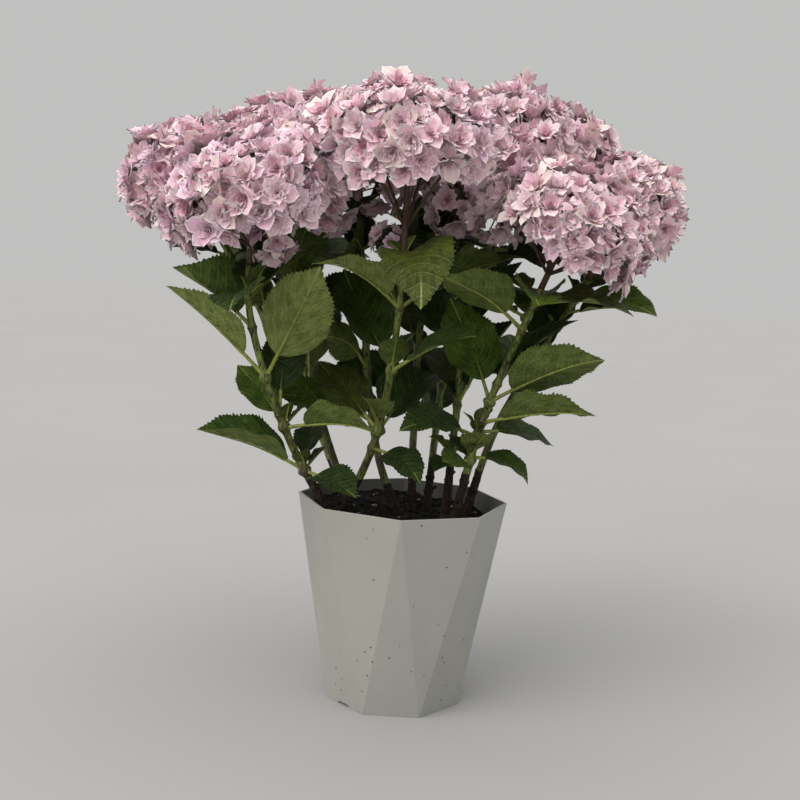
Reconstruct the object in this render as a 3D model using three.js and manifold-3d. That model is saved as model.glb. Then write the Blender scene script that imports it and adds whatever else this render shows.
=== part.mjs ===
// A pink double-flowered hydrangea in a faceted eight-sided pot.
//
// Millimetres, +Z up, the viewer at -Y. The origin is on the flat underside of the pot, in its middle.
// Each stem rises from the soil as a bare woody cane, goes on as a leafy shoot and ends in a flower head.

import * as THREE from "three";
import { mergeVertices } from "three/addons/utils/BufferGeometryUtils.js";
import Module from "manifold-3d";

const wasm = await Module();
wasm.setup();

// Pot: the rim's corners stand half a side round from the foot's corners, which folds its side into triangles
const CORNERS = 8;
const RIM_RADIUS = 110;
const FOOT_RADIUS = 75;
const POT_HEIGHT = 211;
const WALL = 2.8;
const FLOOR = 6;
const MOUTH_CUT = 0.01; // how far the hollow is cut past the rim
const DRAIN_HOLES = 4;
const DRAIN_RADIUS = 6;
const DRAIN_SIDES = 8;
const DRAIN_RING = 46;
const NOTCH = { width: 15, height: 2.8, directions: [-135, 45] };

// Detail smaller than this that is left where pieces cross is smoothed away
const FINEST_DETAIL = 0.05;

// Soil
const SOIL_TOP = 193;
const SOIL_SHRINK = 0.9945;
const CUT_GAP = 0.35;
const FOOT_DEPTH = 8; // how far the stems' lines start below the soil, where a flat cut trims them

// Stems: radii at the foot, where the bark ends, under the flower head and inside it
const CANE_FLARE = 7.5;
const CANE_RADIUS = 5;
const BARK_END = 0.17;
const SHOOT_RADIUS = 4.2;
const SHOOT_END = 0.8;
const PEDUNCLE_RADIUS = 3.2;
const STALK_END_RADIUS = 2.6;
const STALK_END = 0.97;
const STEM_SIDES = 6;
const STEM_STEPS = { cane: 4, shoot: 7, stalk: 3 };
const FLARE_SHARE = 1 / 3; // the share of a cane that widens towards its foot
const LINE_STEPS = 60;
const FIRST_SEED = 101;
const SEED_STEP = 17;

// Leaves: angles in degrees, widths and spreads as shares of the length they belong to
const LEAF_LENGTH = 94;
const LEAF_HALF_WIDTH = 0.335;
const LEAF_THICKNESS = 2.2;
const LEAF_FOLD = 0.16;
const TROUGH = { fold: 0.5, until: 0.4 };
const LEAF_SPREAD = { azimuth: 4, lift: 3, droop: 6, roll: 12, length: 0.05, petiole: 0.2 };
const BLADE_SHAPE = { scale: 2.74, base: 0.62, tip: 0.86 };
const PETIOLE = 26;
const PETIOLE_RADIUS = 1.9;
const BLADE_STATIONS = [0.13, 0.42, 0.75];

// Places on a leaf that are kept clear, and how far from everything else
const PETIOLE_SAMPLES = [0.5, 0.9];
const BLADE_SAMPLES = [0.05, 0.2, 0.35, 0.5, 0.65, 0.8, 0.95];
const SIDE_SAMPLES = [-0.85, -0.4, 0, 0.4, 0.85];
const LEAF_ROOM = 12;
const STEM_ROOM = 12;
const HEAD_ROOM = 10;
const SOIL_ROOM = 8;
const RIM_ROOM = { above: 6, from: 86 };

// Where the light comes from, and how much of the way a blade turns to it
const LIGHT = new THREE.Vector3(0, -0.75, 0.65);
const TURN_TO_LIGHT = 0.45;

// Flower heads
const CROWN_FOCUS = new THREE.Vector3(0, 0, 100);
const FLORET_RADIUS = 25;
const FLORET_AREA = 2500;
const FLORET_POINTS = 5;
const FLORET_ROOT = 22;
const FLORET_ROOM = 4;
const FLORET_SPREAD = { tilt: 0.16, lift: 3, size: 0.1 };
const FLORET_SHAPE = { point: 0.12, notch: 0.62, dip: 0.06, middle: 0.2 };
const DOME_EDGE = THREE.MathUtils.degToRad(114);
const CORE_INSET = 10;
const CORE_FLOOR = -0.35;
const CORE_SEGMENTS = [8, 5];
const RAY = { count: 5, fork: 0.25, out: 0.55, below: 0.15, from: 1.9, to: 1.5, sides: 3 };
const GOLDEN_ANGLE = Math.PI * (3 - Math.sqrt(5));

// One row a stem: its foot on the soil, two points that it passes and the middle of its flower head, then
// the head's half width and half height, then its leaf pairs. A pair has its place along the stem from 0 to
// 1, the direction of its first leaf from +X, how far that leaf and the opposite one lift at their base (null
// where the opposite one has dropped), how far both droop, in degrees, and their size. A last number is how
// much of the way its blades turn to the light, where that isn't the usual share, and less than 0 for away.
const STEMS = [
  {
    name: "left_front",
    points: [[-68, -28], [-121, -41, 280], [-160, -56, 400], [-154, -73, 509]],
    head: [91, 65],
    pairs: [
      [0.2, 200, 30, null, 20, 1, 0.1], [0.2, 314, -2, null, 15, 0.6, 0.6], [0.225, 100, 40, null, 15, 0.55],
      [0.345, 335, 15, null, 28, 0.95, -0.5], [0.35, 140, 42, null, 15, 0.75, 0.6],
      [0.385, 86, 56, null, 15, 0.82, 0.8], [0.487, 198, 47, null, 10, 1.08, -0.2],
      [0.487, 320, 58, null, 10, 1.16, -0.4], [0.62, 150, 36, null, 20, 0.95, 0.1],
      [0.7, 240, 32, 36, 25, 0.9, -0.4],
    ],
  },
  {
    name: "centre_front",
    points: [[-66, -8], [-30, -32, 280], [-14, -58, 400], [-11, -95, 562]],
    head: [78, 57],
    pairs: [
      [0.29, 318, -8, null, 30, 0.66, 0.8], [0.35, 134, 38, null, 15, 0.88, 0.8],
      [0.345, 44, 45, null, 15, 0.9, 0.6], [0.36, 222, 20, null, 30, 0.62, 0.6],
      [0.53, 318, 32, null, 20, 0.93, 0.6], [0.54, 134, 50, null, 15, 1.02, 0.9],
      [0.69, 206, 38, 35, 30, 0.98, 0.2], [0.79, 282, 12, null, 85, 1.05, 0.8],
      [0.79, 100, 35, null, 40, 0.8],
    ],
  },
  {
    name: "right_front",
    points: [[52, -24], [76, -34, 300], [110, -52, 400], [142, -80, 490]],
    head: [76, 58],
    pairs: [
      [0.21, 228, 10, null, 20, 0.52, 0.9], [0.22, 326, 6, null, 60, 0.62, 0.5],
      [0.285, 212, 22, null, 30, 0.82, 0.45], [0.3, 26, 4, null, 30, 0.74, 0.5],
      [0.4, 326, 28, null, 14, 1.08, -0.45], [0.33, 10, 34, null, 15, 1, -0.4],
      [0.4, 134, 64, null, 14, 1.04, 0.9], [0.46, 50, 50, null, 25, 0.85, 0.6],
      [0.65, 220, 46, 40, 40, 0.95, -0.4], [0.76, 95, 30, null, 50, 0.8],
    ],
  },
  {
    name: "left_back",
    points: [[-52, 6], [-92, 27, 285], [-138, 60, 410], [-150, 82, 556]],
    head: [86, 64],
    pairs: [
      [0.435, -50, 68, 50, 12, 1, 0.1], [0.53, 20, 60, 55, 20, 0.95], [0.64, -95, 58, 50, 40, 0.9, 0.2],
      [0.75, -10, 30, 35, 50, 0.95],
    ],
  },
  {
    name: "right_back",
    points: [[45, -8], [52, 20, 300], [62, 42, 420], [116, 52, 563]],
    head: [88, 70],
    pairs: [
      [0.2, -110, 5, null, 40, 0.4, 0.8], [0.36, -36, 66, 40, 15, 0.92, 0.2], [0.525, 15, 55, 60, 30, 0.95],
      [0.64, 110, 50, 50, 50, 0.95], [0.75, 175, 40, 45, 60, 0.9],
    ],
  },
  {
    name: "far_right",
    points: [[64, 8], [98, 14, 296], [156, 16, 405], [213, 5, 515]],
    head: [57, 59],
    pairs: [
      [0.44, 95, 45, null, 40, 0.85], [0.51, 36, 54, null, 12, 0.98, 0.2], [0.64, 80, 45, 50, 40, 0.8],
      [0.74, 24, 34, 40, 30, 0.6],
    ],
  },
  {
    name: "centre_back",
    points: [[10, 26], [8, 48, 290], [14, 62, 420], [68, 72, 575]],
    head: [74, 62],
    pairs: [
      [0.38, 30, 55, 50, 40, 0.95], [0.52, -70, 60, 50, 50, 0.95], [0.65, 170, 50, 50, 50, 0.95],
      [0.76, 80, 40, 30, 70, 0.8],
    ],
  },
  {
    name: "far_left",
    points: [[-58, 42], [-108, 66, 290], [-178, 44, 420], [-241, 2, 530]],
    head: [61, 56],
    pairs: [
      [0.3, 95, 55, null, 30, 0.9], [0.42, 80, 55, null, 35, 0.9], [0.58, 100, 50, 50, 35, 0.85],
      [0.76, 205, 20, 35, 30, 0.5],
    ],
  },
  {
    name: "centre",
    points: [[-2, 2], [-32, 14, 265], [-52, 26, 400], [-66, 34, 578]],
    head: [72, 55],
    pairs: [
      [0.4, 10, 50, 50, 40, 0.95], [0.54, 95, 50, 60, 40, 0.95], [0.65, 185, 50, 50, 45, 0.9],
      [0.76, 110, 35, 50, 50, 0.8],
    ],
  },
  {
    name: "back",
    points: [[26, 42], [34, 84, 290], [44, 130, 420], [42, 168, 568]],
    head: [67, 53],
    pairs: [
      [0.3, 70, 50, 60, 40, 0.9], [0.42, 160, 50, 50, 40, 0.95], [0.54, 60, 50, 60, 40, 0.95],
      [0.66, 5, 50, 50, 45, 0.9], [0.77, 75, 35, 50, 50, 0.8],
    ],
  },
];

// A side twig on one stem that carries a few separate florets
const SPRIG = {
  stem: "centre_front",
  place: 0.72,
  tip: [-33, -28, 470],
  from: 1.8,
  to: 1.4,
  sides: 4,
  florets: 3,
  radius: 16,
  apart: 0.8,
  lean: [0, -0.5, 0.6],
};

const COLOURS = {
  pot: { color: 0xb4b3ab, roughness: 0.55 },
  soil: { color: 0x241d19, roughness: 1 },
  bark: { color: 0x6a5644, roughness: 0.85 },
  leaf: { color: 0x466436, roughness: 0.6 },
  petal: { color: 0xe3bccb, roughness: 0.7 },
};

const vector = (x, y, z) => new THREE.Vector3(x, y, z);
const radians = THREE.MathUtils.degToRad;

// Numbers from 0 to 1 that are the same in every run
function randomStream(seed) {
  let state = seed;
  return () => {
    state = (Math.imul(state, 1664525) + 1013904223) >>> 0;
    return state / 4294967296;
  };
}

// A closed surface through rings of points that climb along an axis and run anticlockwise round it.
// A ring of one point is a tip.
function skin(rings) {
  const starts = [];
  const points = [];
  for (const ring of rings) {
    starts.push(points.length);
    points.push(...ring);
  }
  const faces = [];
  for (let r = 0; r + 1 < rings.length; r++) {
    const lower = rings[r].length;
    const upper = rings[r + 1].length;
    const count = Math.max(lower, upper);
    for (let i = 0; i < count; i++) {
      const next = (i + 1) % count;
      const a = starts[r] + (lower > 1 ? i : 0);
      const b = starts[r] + (lower > 1 ? next : 0);
      const c = starts[r + 1] + (upper > 1 ? next : 0);
      const d = starts[r + 1] + (upper > 1 ? i : 0);
      if (lower > 1) faces.push(a, b, c);
      if (upper > 1) faces.push(a, c, d);
    }
  }
  return new THREE.BufferGeometry().setFromPoints(points).setIndex(faces);
}

function solid(geometry) {
  const bare = geometry.clone();
  bare.deleteAttribute("normal");
  bare.deleteAttribute("uv");
  const merged = mergeVertices(bare, 1e-4);
  return new wasm.Manifold(
    new wasm.Mesh({
      numProp: 3,
      vertProperties: merged.attributes.position.array,
      triVerts: new Uint32Array(merged.index.array),
    }),
  );
}

const joined = (pieces) => pieces.reduce((whole, piece) => whole.add(piece));

// The largest body of a solid, without the scraps that a cut leaves loose
function mainBody(body) {
  return body.decompose().reduce((best, piece) => (piece.volume() > best.volume() ? piece : best));
}

function meshOf(name, body, look) {
  const raw = mainBody(body.asOriginal().simplify(FINEST_DETAIL)).getMesh();
  const geometry = new THREE.BufferGeometry();
  geometry.setAttribute("position", new THREE.BufferAttribute(raw.vertProperties, raw.numProp));
  geometry.setIndex(new THREE.BufferAttribute(raw.triVerts, 1));
  geometry.computeVertexNormals();
  const mesh = new THREE.Mesh(geometry, new THREE.MeshStandardMaterial({ ...look, flatShading: true }));
  mesh.name = name;
  return mesh;
}

// Pot and soil

function cornerRing(radius, z, turn) {
  return Array.from({ length: CORNERS }, (_, i) => {
    const angle = (i * 2 * Math.PI) / CORNERS + turn;
    return vector(radius * Math.cos(angle), radius * Math.sin(angle), z);
  });
}

function facetedBody(footRadius, rimRadius, bottom, top) {
  const foot = cornerRing(footRadius, bottom, Math.PI / CORNERS);
  const rim = cornerRing(rimRadius, top, 0);
  return solid(skin([[vector(0, 0, bottom)], foot, rim, [vector(0, 0, top)]]));
}

const INNER_FOOT = FOOT_RADIUS - WALL;
const INNER_RIM = RIM_RADIUS - WALL;
const cavity = () => facetedBody(INNER_FOOT, INNER_RIM, FLOOR, POT_HEIGHT + MOUTH_CUT);

function potBody() {
  let body = facetedBody(FOOT_RADIUS, RIM_RADIUS, 0, POT_HEIGHT).subtract(cavity());
  for (let i = 0; i < DRAIN_HOLES; i++) {
    const angle = Math.PI / 4 + (i * 2 * Math.PI) / DRAIN_HOLES;
    const hole = new THREE.CylinderGeometry(DRAIN_RADIUS, DRAIN_RADIUS, 4 * FLOOR, DRAIN_SIDES);
    hole.rotateX(Math.PI / 2).translate(DRAIN_RING * Math.cos(angle), DRAIN_RING * Math.sin(angle), 0);
    body = body.subtract(solid(hole));
  }
  for (const direction of NOTCH.directions) {
    const channel = new THREE.BoxGeometry(FOOT_RADIUS, NOTCH.width, 2 * NOTCH.height);
    channel.translate(DRAIN_RING + FOOT_RADIUS / 2, 0, 0).rotateZ(radians(direction));
    body = body.subtract(solid(channel));
  }
  return body;
}

function soilBody() {
  const span = 2 * RIM_RADIUS;
  const above = new THREE.BoxGeometry(span, span, span).translate(0, 0, SOIL_TOP + span / 2);
  const filling = facetedBody(
    INNER_FOOT * SOIL_SHRINK,
    INNER_RIM * SOIL_SHRINK,
    FLOOR + CUT_GAP,
    POT_HEIGHT + CUT_GAP,
  );
  return filling.subtract(solid(above));
}

// Stems

function stemCurve(row) {
  const [foot, low, high, crown] = row.points;
  const start = vector(foot[0], foot[1], SOIL_TOP - FOOT_DEPTH);
  const stops = [start, vector(...low), vector(...high), vector(...crown)];
  return new THREE.CatmullRomCurve3(stops, false, "catmullrom");
}

function roundRing(centre, along, radius, sides) {
  const across = sideOf(along);
  const up = along.clone().cross(across);
  return Array.from({ length: sides }, (_, i) => {
    const angle = (i * 2 * Math.PI) / sides;
    return centre
      .clone()
      .addScaledVector(across, radius * Math.cos(angle))
      .addScaledVector(up, radius * Math.sin(angle));
  });
}

// A direction square to the one given, which turns smoothly along an upright stem
function sideOf(along) {
  const reference = Math.abs(along.y) < 0.9 ? vector(0, 1, 0) : vector(1, 0, 0);
  return reference.cross(along).normalize();
}

// A round limb along a stretch of a curve, with flat ends
function limb(curve, from, to, steps, radiusAt, sides) {
  const rings = [];
  for (let i = 0; i <= steps; i++) {
    const part = i / steps;
    const place = from + (to - from) * part;
    rings.push(roundRing(curve.getPoint(place), curve.getTangent(place), radiusAt(part), sides));
  }
  const ends = [[curve.getPoint(from)], [curve.getPoint(to)]];
  return solid(skin([ends[0], ...rings, ends[1]]));
}

// The share of the stem's range that leaves the gap between two pieces end to end
function endGap(curve) {
  return CUT_GAP / 2 / curve.getLength();
}

function caneBody(stem) {
  const flare = (part) => (CANE_FLARE - CANE_RADIUS) * Math.max(0, 1 - part / FLARE_SHARE) ** 2;
  const taper = (part) => CANE_RADIUS + flare(part) - (CANE_RADIUS - SHOOT_RADIUS) * part;
  const span = 2 * RIM_RADIUS;
  const below = new THREE.BoxGeometry(span, span, span).translate(0, 0, SOIL_TOP + CUT_GAP - span / 2);
  const whole = limb(stem.curve, 0, BARK_END - stem.gap, STEM_STEPS.cane, taper, STEM_SIDES);
  return whole.subtract(solid(below));
}

// Leaves

// How wide the blade is at a place along it, as a share of its widest
function bladeProfile(place) {
  return BLADE_SHAPE.scale * place ** BLADE_SHAPE.base * (1 - place) ** BLADE_SHAPE.tip;
}

// The midrib's place and directions, from the blade's base at 0 to its tip at 1. The blade arches over.
function bladeFrame(leaf, place) {
  const lift = leaf.lift - leaf.droop * place;
  const out = (leaf.length * (Math.sin(leaf.lift) - Math.sin(lift))) / leaf.droop;
  const rise = (leaf.length * (Math.cos(lift) - Math.cos(leaf.lift))) / leaf.droop;
  const heading = vector(Math.cos(leaf.azimuth), Math.sin(leaf.azimuth), 0);
  const point = leafBase(leaf).addScaledVector(heading, out);
  point.z += rise;
  const along = heading.clone().multiplyScalar(Math.cos(lift));
  along.z = Math.sin(lift);
  const level = vector(-Math.sin(leaf.azimuth), Math.cos(leaf.azimuth), 0);
  const upright = along.clone().cross(level);
  const turned = (first, second) =>
    first.clone().multiplyScalar(Math.cos(leaf.roll)).addScaledVector(second, Math.sin(leaf.roll));
  const across = turned(level, upright);
  const up = turned(upright, level.clone().negate());
  return { point, along, across, up };
}

// The roll that would turn a blade's upper face as far to the light as it goes
function rollToLight(leaf) {
  const { across, up } = bladeFrame({ ...leaf, roll: 0 }, 0);
  return Math.atan2(-across.dot(LIGHT), up.dot(LIGHT));
}

function petioleDirection(leaf) {
  const level = Math.cos(leaf.lift);
  return vector(level * Math.cos(leaf.azimuth), level * Math.sin(leaf.azimuth), Math.sin(leaf.lift));
}

function leafBase(leaf) {
  return leaf.root.clone().addScaledVector(petioleDirection(leaf), leaf.petiole);
}

// A point of the blade, from -1 at its left edge to 1 at its right edge
function bladePoint(leaf, place, side) {
  const { point, across, up } = bladeFrame(leaf, place);
  const reach = leaf.length * LEAF_HALF_WIDTH * bladeProfile(place) * side;
  return point.addScaledVector(across, reach).addScaledVector(up, Math.abs(reach) * leaf.fold);
}

function leafBody(leaf) {
  const heading = petioleDirection(leaf);
  const rings = [[leaf.root], roundRing(leaf.root, heading, PETIOLE_RADIUS, 4)];
  const { point, across, up } = bladeFrame(leaf, 0);
  rings.push(crossRing(point, across, up, PETIOLE_RADIUS, 0));
  for (const place of BLADE_STATIONS) {
    const frame = bladeFrame(leaf, place);
    const half = leaf.length * LEAF_HALF_WIDTH * bladeProfile(place);
    rings.push(crossRing(frame.point, frame.across, frame.up, half, leaf.fold));
  }
  rings.push([bladeFrame(leaf, 1).point]);
  return solid(skin(rings));
}

// Right edge, upper face, left edge and lower face of a blade at one place
function crossRing(point, across, up, half, fold) {
  const edge = (side) =>
    point
      .clone()
      .addScaledVector(across, side * half)
      .addScaledVector(up, half * fold);
  const face = (side) => point.clone().addScaledVector(up, (side * LEAF_THICKNESS) / 2);
  return [edge(1), face(1), edge(-1), face(-1)];
}

// The points of a blade that are kept clear of everything else
function bladeSamples(leaf) {
  const samples = PETIOLE_SAMPLES.map((part) => leaf.root.clone().lerp(leafBase(leaf), part));
  for (const place of BLADE_SAMPLES)
    for (const side of SIDE_SAMPLES) samples.push(bladePoint(leaf, place, side));
  return samples;
}

// How far a point is from the middle of a flower head, where 1 is the head's own surface
function headDistance(head, point, room) {
  const offset = point.clone().sub(head.centre);
  const across = Math.hypot(offset.dot(head.east), offset.dot(head.north)) / (head.width + room);
  return Math.hypot(across, offset.dot(head.axis) / (head.height + room));
}

function isAtRim(point) {
  const out = Math.hypot(point.x, point.y);
  return point.z < POT_HEIGHT + RIM_ROOM.above && out > RIM_ROOM.from;
}

function hasRoom(samples, taken, stems, owner) {
  for (const point of samples) {
    if (point.z < SOIL_TOP + SOIL_ROOM || isAtRim(point)) return false;
    if (stems.some((stem) => headDistance(stem.head, point, HEAD_ROOM) < 1)) return false;
    if (taken.some((other) => other.distanceTo(point) < LEAF_ROOM)) return false;
    for (const stem of stems) {
      if (stem === owner) continue;
      if (stem.line.some((other) => other.distanceTo(point) < STEM_ROOM)) return false;
    }
  }
  return true;
}

// Turns and lifts in degrees that a leaf tries, in order, until it has room
const AIMS = [
  [0, 0], [14, 0], [-14, 0], [0, 12], [0, -12], [28, 0], [-28, 0], [20, 14], [-20, 14], [20, -14],
  [-20, -14], [42, 0], [-42, 0], [0, 26], [0, -26], [36, 20], [-36, 20], [36, -20], [-36, -20], [58, 0],
  [-58, 0],
];
const SIZES = [1, 0.85, 0.7];

function placedLeaf(wish, taken, stems, owner) {
  for (const size of SIZES)
    for (const [turn, lift] of AIMS) {
      const leaf = { ...wish };
      leaf.azimuth += radians(turn);
      leaf.lift += radians(lift);
      leaf.length *= size;
      const samples = bladeSamples(leaf);
      if (hasRoom(samples, taken, stems, owner)) {
        taken.push(...samples);
        return leaf;
      }
    }
  return null;
}

// The leaves of one shoot, in opposite pairs
function shootLeaves(stem, taken, stems) {
  const random = randomStream(stem.seed);
  const spread = (size) => (2 * random() - 1) * size;
  const leaves = [];
  for (const [place, azimuth, firstLift, secondLift, droop, size, turn = TURN_TO_LIGHT] of stem.row.pairs)
    for (const [side, lift] of [[0, firstLift], [180, secondLift]]) {
      if (lift === null) continue;
      const wish = {
        root: stem.curve.getPoint(place),
        azimuth: radians(azimuth + side + spread(LEAF_SPREAD.azimuth)),
        lift: radians(lift + spread(LEAF_SPREAD.lift)),
        droop: radians(droop + spread(LEAF_SPREAD.droop)),
        roll: radians(spread(LEAF_SPREAD.roll)),
        length: LEAF_LENGTH * size * (1 + spread(LEAF_SPREAD.length)),
        petiole: PETIOLE * size * (1 + spread(LEAF_SPREAD.petiole)),
        fold: LEAF_FOLD + TROUGH.fold * Math.max(0, 1 - Math.abs(turn) / TROUGH.until),
      };
      wish.roll += turn * rollToLight(wish);
      const leaf = placedLeaf(wish, taken, stems, stem);
      if (leaf) leaves.push(leaf);
    }
  return leaves;
}

// Flower heads

function headOf(row) {
  const centre = vector(...row.points[3]);
  const axis = centre.clone().sub(CROWN_FOCUS).normalize();
  const east = sideOf(axis);
  const north = axis.clone().cross(east);
  return { centre, axis, east, north, width: row.head[0], height: row.head[1] };
}

// How far the head's dome reaches from its middle in a given direction
function reachTowards(head, direction) {
  const across = Math.hypot(direction.dot(head.east), direction.dot(head.north)) / head.width;
  return 1 / Math.hypot(across, direction.dot(head.axis) / head.height);
}

// The planes where neighbouring heads press against each other
function partings(stem, stems) {
  const planes = [];
  for (const other of stems) {
    if (other === stem) continue;
    const between = other.head.centre.clone().sub(stem.head.centre);
    const distance = between.length();
    const direction = between.normalize();
    const own = reachTowards(stem.head, direction);
    const its = reachTowards(other.head, direction);
    if (distance > own + its + 2 * FLORET_RADIUS) continue;
    const point = stem.head.centre.clone().addScaledVector(direction, (distance * own) / (own + its));
    planes.push({ point, direction });
  }
  return planes;
}

// Florets spread evenly over the dome of a head, each facing out. Those past a parting are left out.
function headFlorets(stem, stems) {
  const { head } = stem;
  const random = randomStream(stem.seed + 1);
  const spread = (size) => (2 * random() - 1) * size;
  const mean = (2 * head.width + head.height) / 3;
  const count = Math.round((2 * Math.PI * mean ** 2 * (1 - Math.cos(DOME_EDGE))) / FLORET_AREA);
  const florets = [];
  for (let i = 0; i < count; i++) {
    const polar = Math.acos(1 - ((1 - Math.cos(DOME_EDGE)) * (i + 0.5)) / count);
    const turn = i * GOLDEN_ANGLE + stem.seed;
    const tilt = [spread(FLORET_SPREAD.tilt), spread(FLORET_SPREAD.tilt)];
    const lift = spread(FLORET_SPREAD.lift);
    const spin = random() * 2 * Math.PI;
    const radius = FLORET_RADIUS * (1 + spread(FLORET_SPREAD.size));
    const east = Math.sin(polar) * Math.cos(turn);
    const north = Math.sin(polar) * Math.sin(turn);
    const up = Math.cos(polar);
    const onDome = (e, n, u) =>
      head.east.clone().multiplyScalar(e).addScaledVector(head.north, n).addScaledVector(head.axis, u);
    const centre = onDome(head.width * east, head.width * north, head.height * up).add(head.centre);
    const facing = onDome(east / head.width, north / head.width, up / head.height).normalize();
    facing.addScaledVector(head.east, tilt[0]).addScaledVector(head.north, tilt[1]).normalize();
    centre.addScaledVector(facing, lift);
    const beyond = stem.planes.some(
      (plane) => centre.clone().sub(plane.point).dot(plane.direction) > FLORET_ROOM,
    );
    const room = radius + FLORET_ROOM;
    const onStem = stems.some(
      (other) => other !== stem && other.line.some((point) => point.distanceTo(centre) < room),
    );
    if (!beyond && !onStem) florets.push({ centre, facing, spin, radius });
  }
  return florets;
}

// A cupped star with its root below it
function floretBody({ centre, facing, spin, radius }, root) {
  const across = sideOf(facing);
  const up = facing.clone().cross(across);
  const at = (angle, out, height) =>
    centre
      .clone()
      .addScaledVector(across, out * Math.cos(angle))
      .addScaledVector(up, out * Math.sin(angle))
      .addScaledVector(facing, height);
  const rim = [];
  for (let i = 0; i < 2 * FLORET_POINTS; i++) {
    const angle = spin + (i * Math.PI) / FLORET_POINTS;
    const [out, height] = i % 2 ? [FLORET_SHAPE.notch, -FLORET_SHAPE.dip] : [1, FLORET_SHAPE.point];
    rim.push(at(angle, out * radius, height * radius));
  }
  return solid(skin([[at(0, 0, -root)], rim, [at(0, 0, FLORET_SHAPE.middle * radius)]]));
}

function headCore(head) {
  const core = new THREE.SphereGeometry(1, ...CORE_SEGMENTS).rotateX(Math.PI / 2);
  const position = core.getAttribute("position");
  for (let i = 0; i < position.count; i++) position.setZ(i, Math.max(position.getZ(i), CORE_FLOOR));
  core.scale(head.width - CORE_INSET, head.width - CORE_INSET, head.height - CORE_INSET);
  const placed = new THREE.Matrix4().makeBasis(head.east, head.north, head.axis).setPosition(head.centre);
  return solid(core.applyMatrix4(placed));
}

// The rays that fork from the top of the flower stalk and spread to the edge of the head
function headRays(stem) {
  const { head, curve } = stem;
  const fork = curve.getPoint(SHOOT_END + RAY.fork * (1 - SHOOT_END));
  const taper = (part) => RAY.from + (RAY.to - RAY.from) * part;
  return Array.from({ length: RAY.count }, (_, i) => {
    const angle = (i * 2 * Math.PI) / RAY.count + stem.seed;
    const end = head.centre
      .clone()
      .addScaledVector(head.east, RAY.out * head.width * Math.cos(angle))
      .addScaledVector(head.north, RAY.out * head.width * Math.sin(angle))
      .addScaledVector(head.axis, -RAY.below * head.height);
    return limb(new THREE.LineCurve3(fork, end), 0, 1, 1, taper, RAY.sides);
  });
}

function headBody(stem) {
  const taper = (part) => PEDUNCLE_RADIUS + (STALK_END_RADIUS - PEDUNCLE_RADIUS) * part;
  const stalk = limb(stem.curve, SHOOT_END + stem.gap, STALK_END, STEM_STEPS.stalk, taper, STEM_SIDES);
  const pieces = [headCore(stem.head), stalk, ...headRays(stem)];
  for (const floret of stem.florets) pieces.push(floretBody(floret, FLORET_ROOT));
  let body = joined(pieces);
  const size = 4 * stem.head.width;
  for (const { point, direction } of stem.planes) {
    const keep = new THREE.BoxGeometry(size, size, size).translate(0, 0, -size / 2 - CUT_GAP / 2);
    keep.applyQuaternion(new THREE.Quaternion().setFromUnitVectors(vector(0, 0, 1), direction));
    keep.translate(point.x, point.y, point.z);
    body = body.intersect(solid(keep));
  }
  return mainBody(body);
}

function sprigPieces(stem) {
  const tip = vector(...SPRIG.tip);
  const foot = stem.curve.getPoint(SPRIG.place);
  const taper = (part) => SPRIG.from + (SPRIG.to - SPRIG.from) * part;
  const pieces = [limb(new THREE.LineCurve3(foot, tip), 0, 1, 1, taper, SPRIG.sides)];
  for (let i = 0; i < SPRIG.florets; i++) {
    const angle = (i * 2 * Math.PI) / SPRIG.florets;
    const facing = vector(...SPRIG.lean).add(vector(Math.cos(angle), Math.sin(angle), 0)).normalize();
    const centre = tip.clone().addScaledVector(facing, SPRIG.apart * SPRIG.radius);
    pieces.push(floretBody({ centre, facing, spin: i, radius: SPRIG.radius }, SPRIG.radius));
  }
  return pieces;
}

function shootBody(stem) {
  const taper = (part) => SHOOT_RADIUS + (PEDUNCLE_RADIUS - SHOOT_RADIUS) * part;
  const pieces = [
    limb(stem.curve, BARK_END + stem.gap, SHOOT_END - stem.gap, STEM_STEPS.shoot, taper, STEM_SIDES),
    ...stem.leaves.map(leafBody),
  ];
  if (stem.row.name === SPRIG.stem) pieces.push(...sprigPieces(stem));
  return mainBody(joined(pieces));
}

// The whole plant

const stems = STEMS.map((row, index) => {
  const curve = stemCurve(row);
  const seed = FIRST_SEED + SEED_STEP * index;
  return { row, curve, line: curve.getPoints(LINE_STEPS), gap: endGap(curve), head: headOf(row), seed };
});
for (const stem of stems) stem.planes = partings(stem, stems);
for (const stem of stems) stem.florets = headFlorets(stem, stems);
const taken = [];
for (const stem of stems) stem.leaves = shootLeaves(stem, taken, stems);

const plant = new THREE.Group();
plant.add(meshOf("pot", potBody(), COLOURS.pot));
plant.add(meshOf("soil", soilBody(), COLOURS.soil));
for (const stem of stems) {
  plant.add(meshOf("cane_" + stem.row.name, caneBody(stem), COLOURS.bark));
  plant.add(meshOf("shoot_" + stem.row.name, shootBody(stem), COLOURS.leaf));
  plant.add(meshOf("head_" + stem.row.name, headBody(stem), COLOURS.petal));
}

export default plant;
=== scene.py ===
"""A pink double-flowered hydrangea in a faceted pot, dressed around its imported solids.

The plant grows by the same rule as the solids: each stem passes the same points, carries its leaf pairs at
the same places and spreads its florets over the same dome, here with finer leaves and florets.
Lengths are millimetres until a mesh is made, and metres from then on. The viewer is at -Y.
"""

import math
from dataclasses import dataclass, replace
from itertools import cycle

import bmesh
import bpy
import numpy as np
from mathutils import Matrix, Vector


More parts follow.
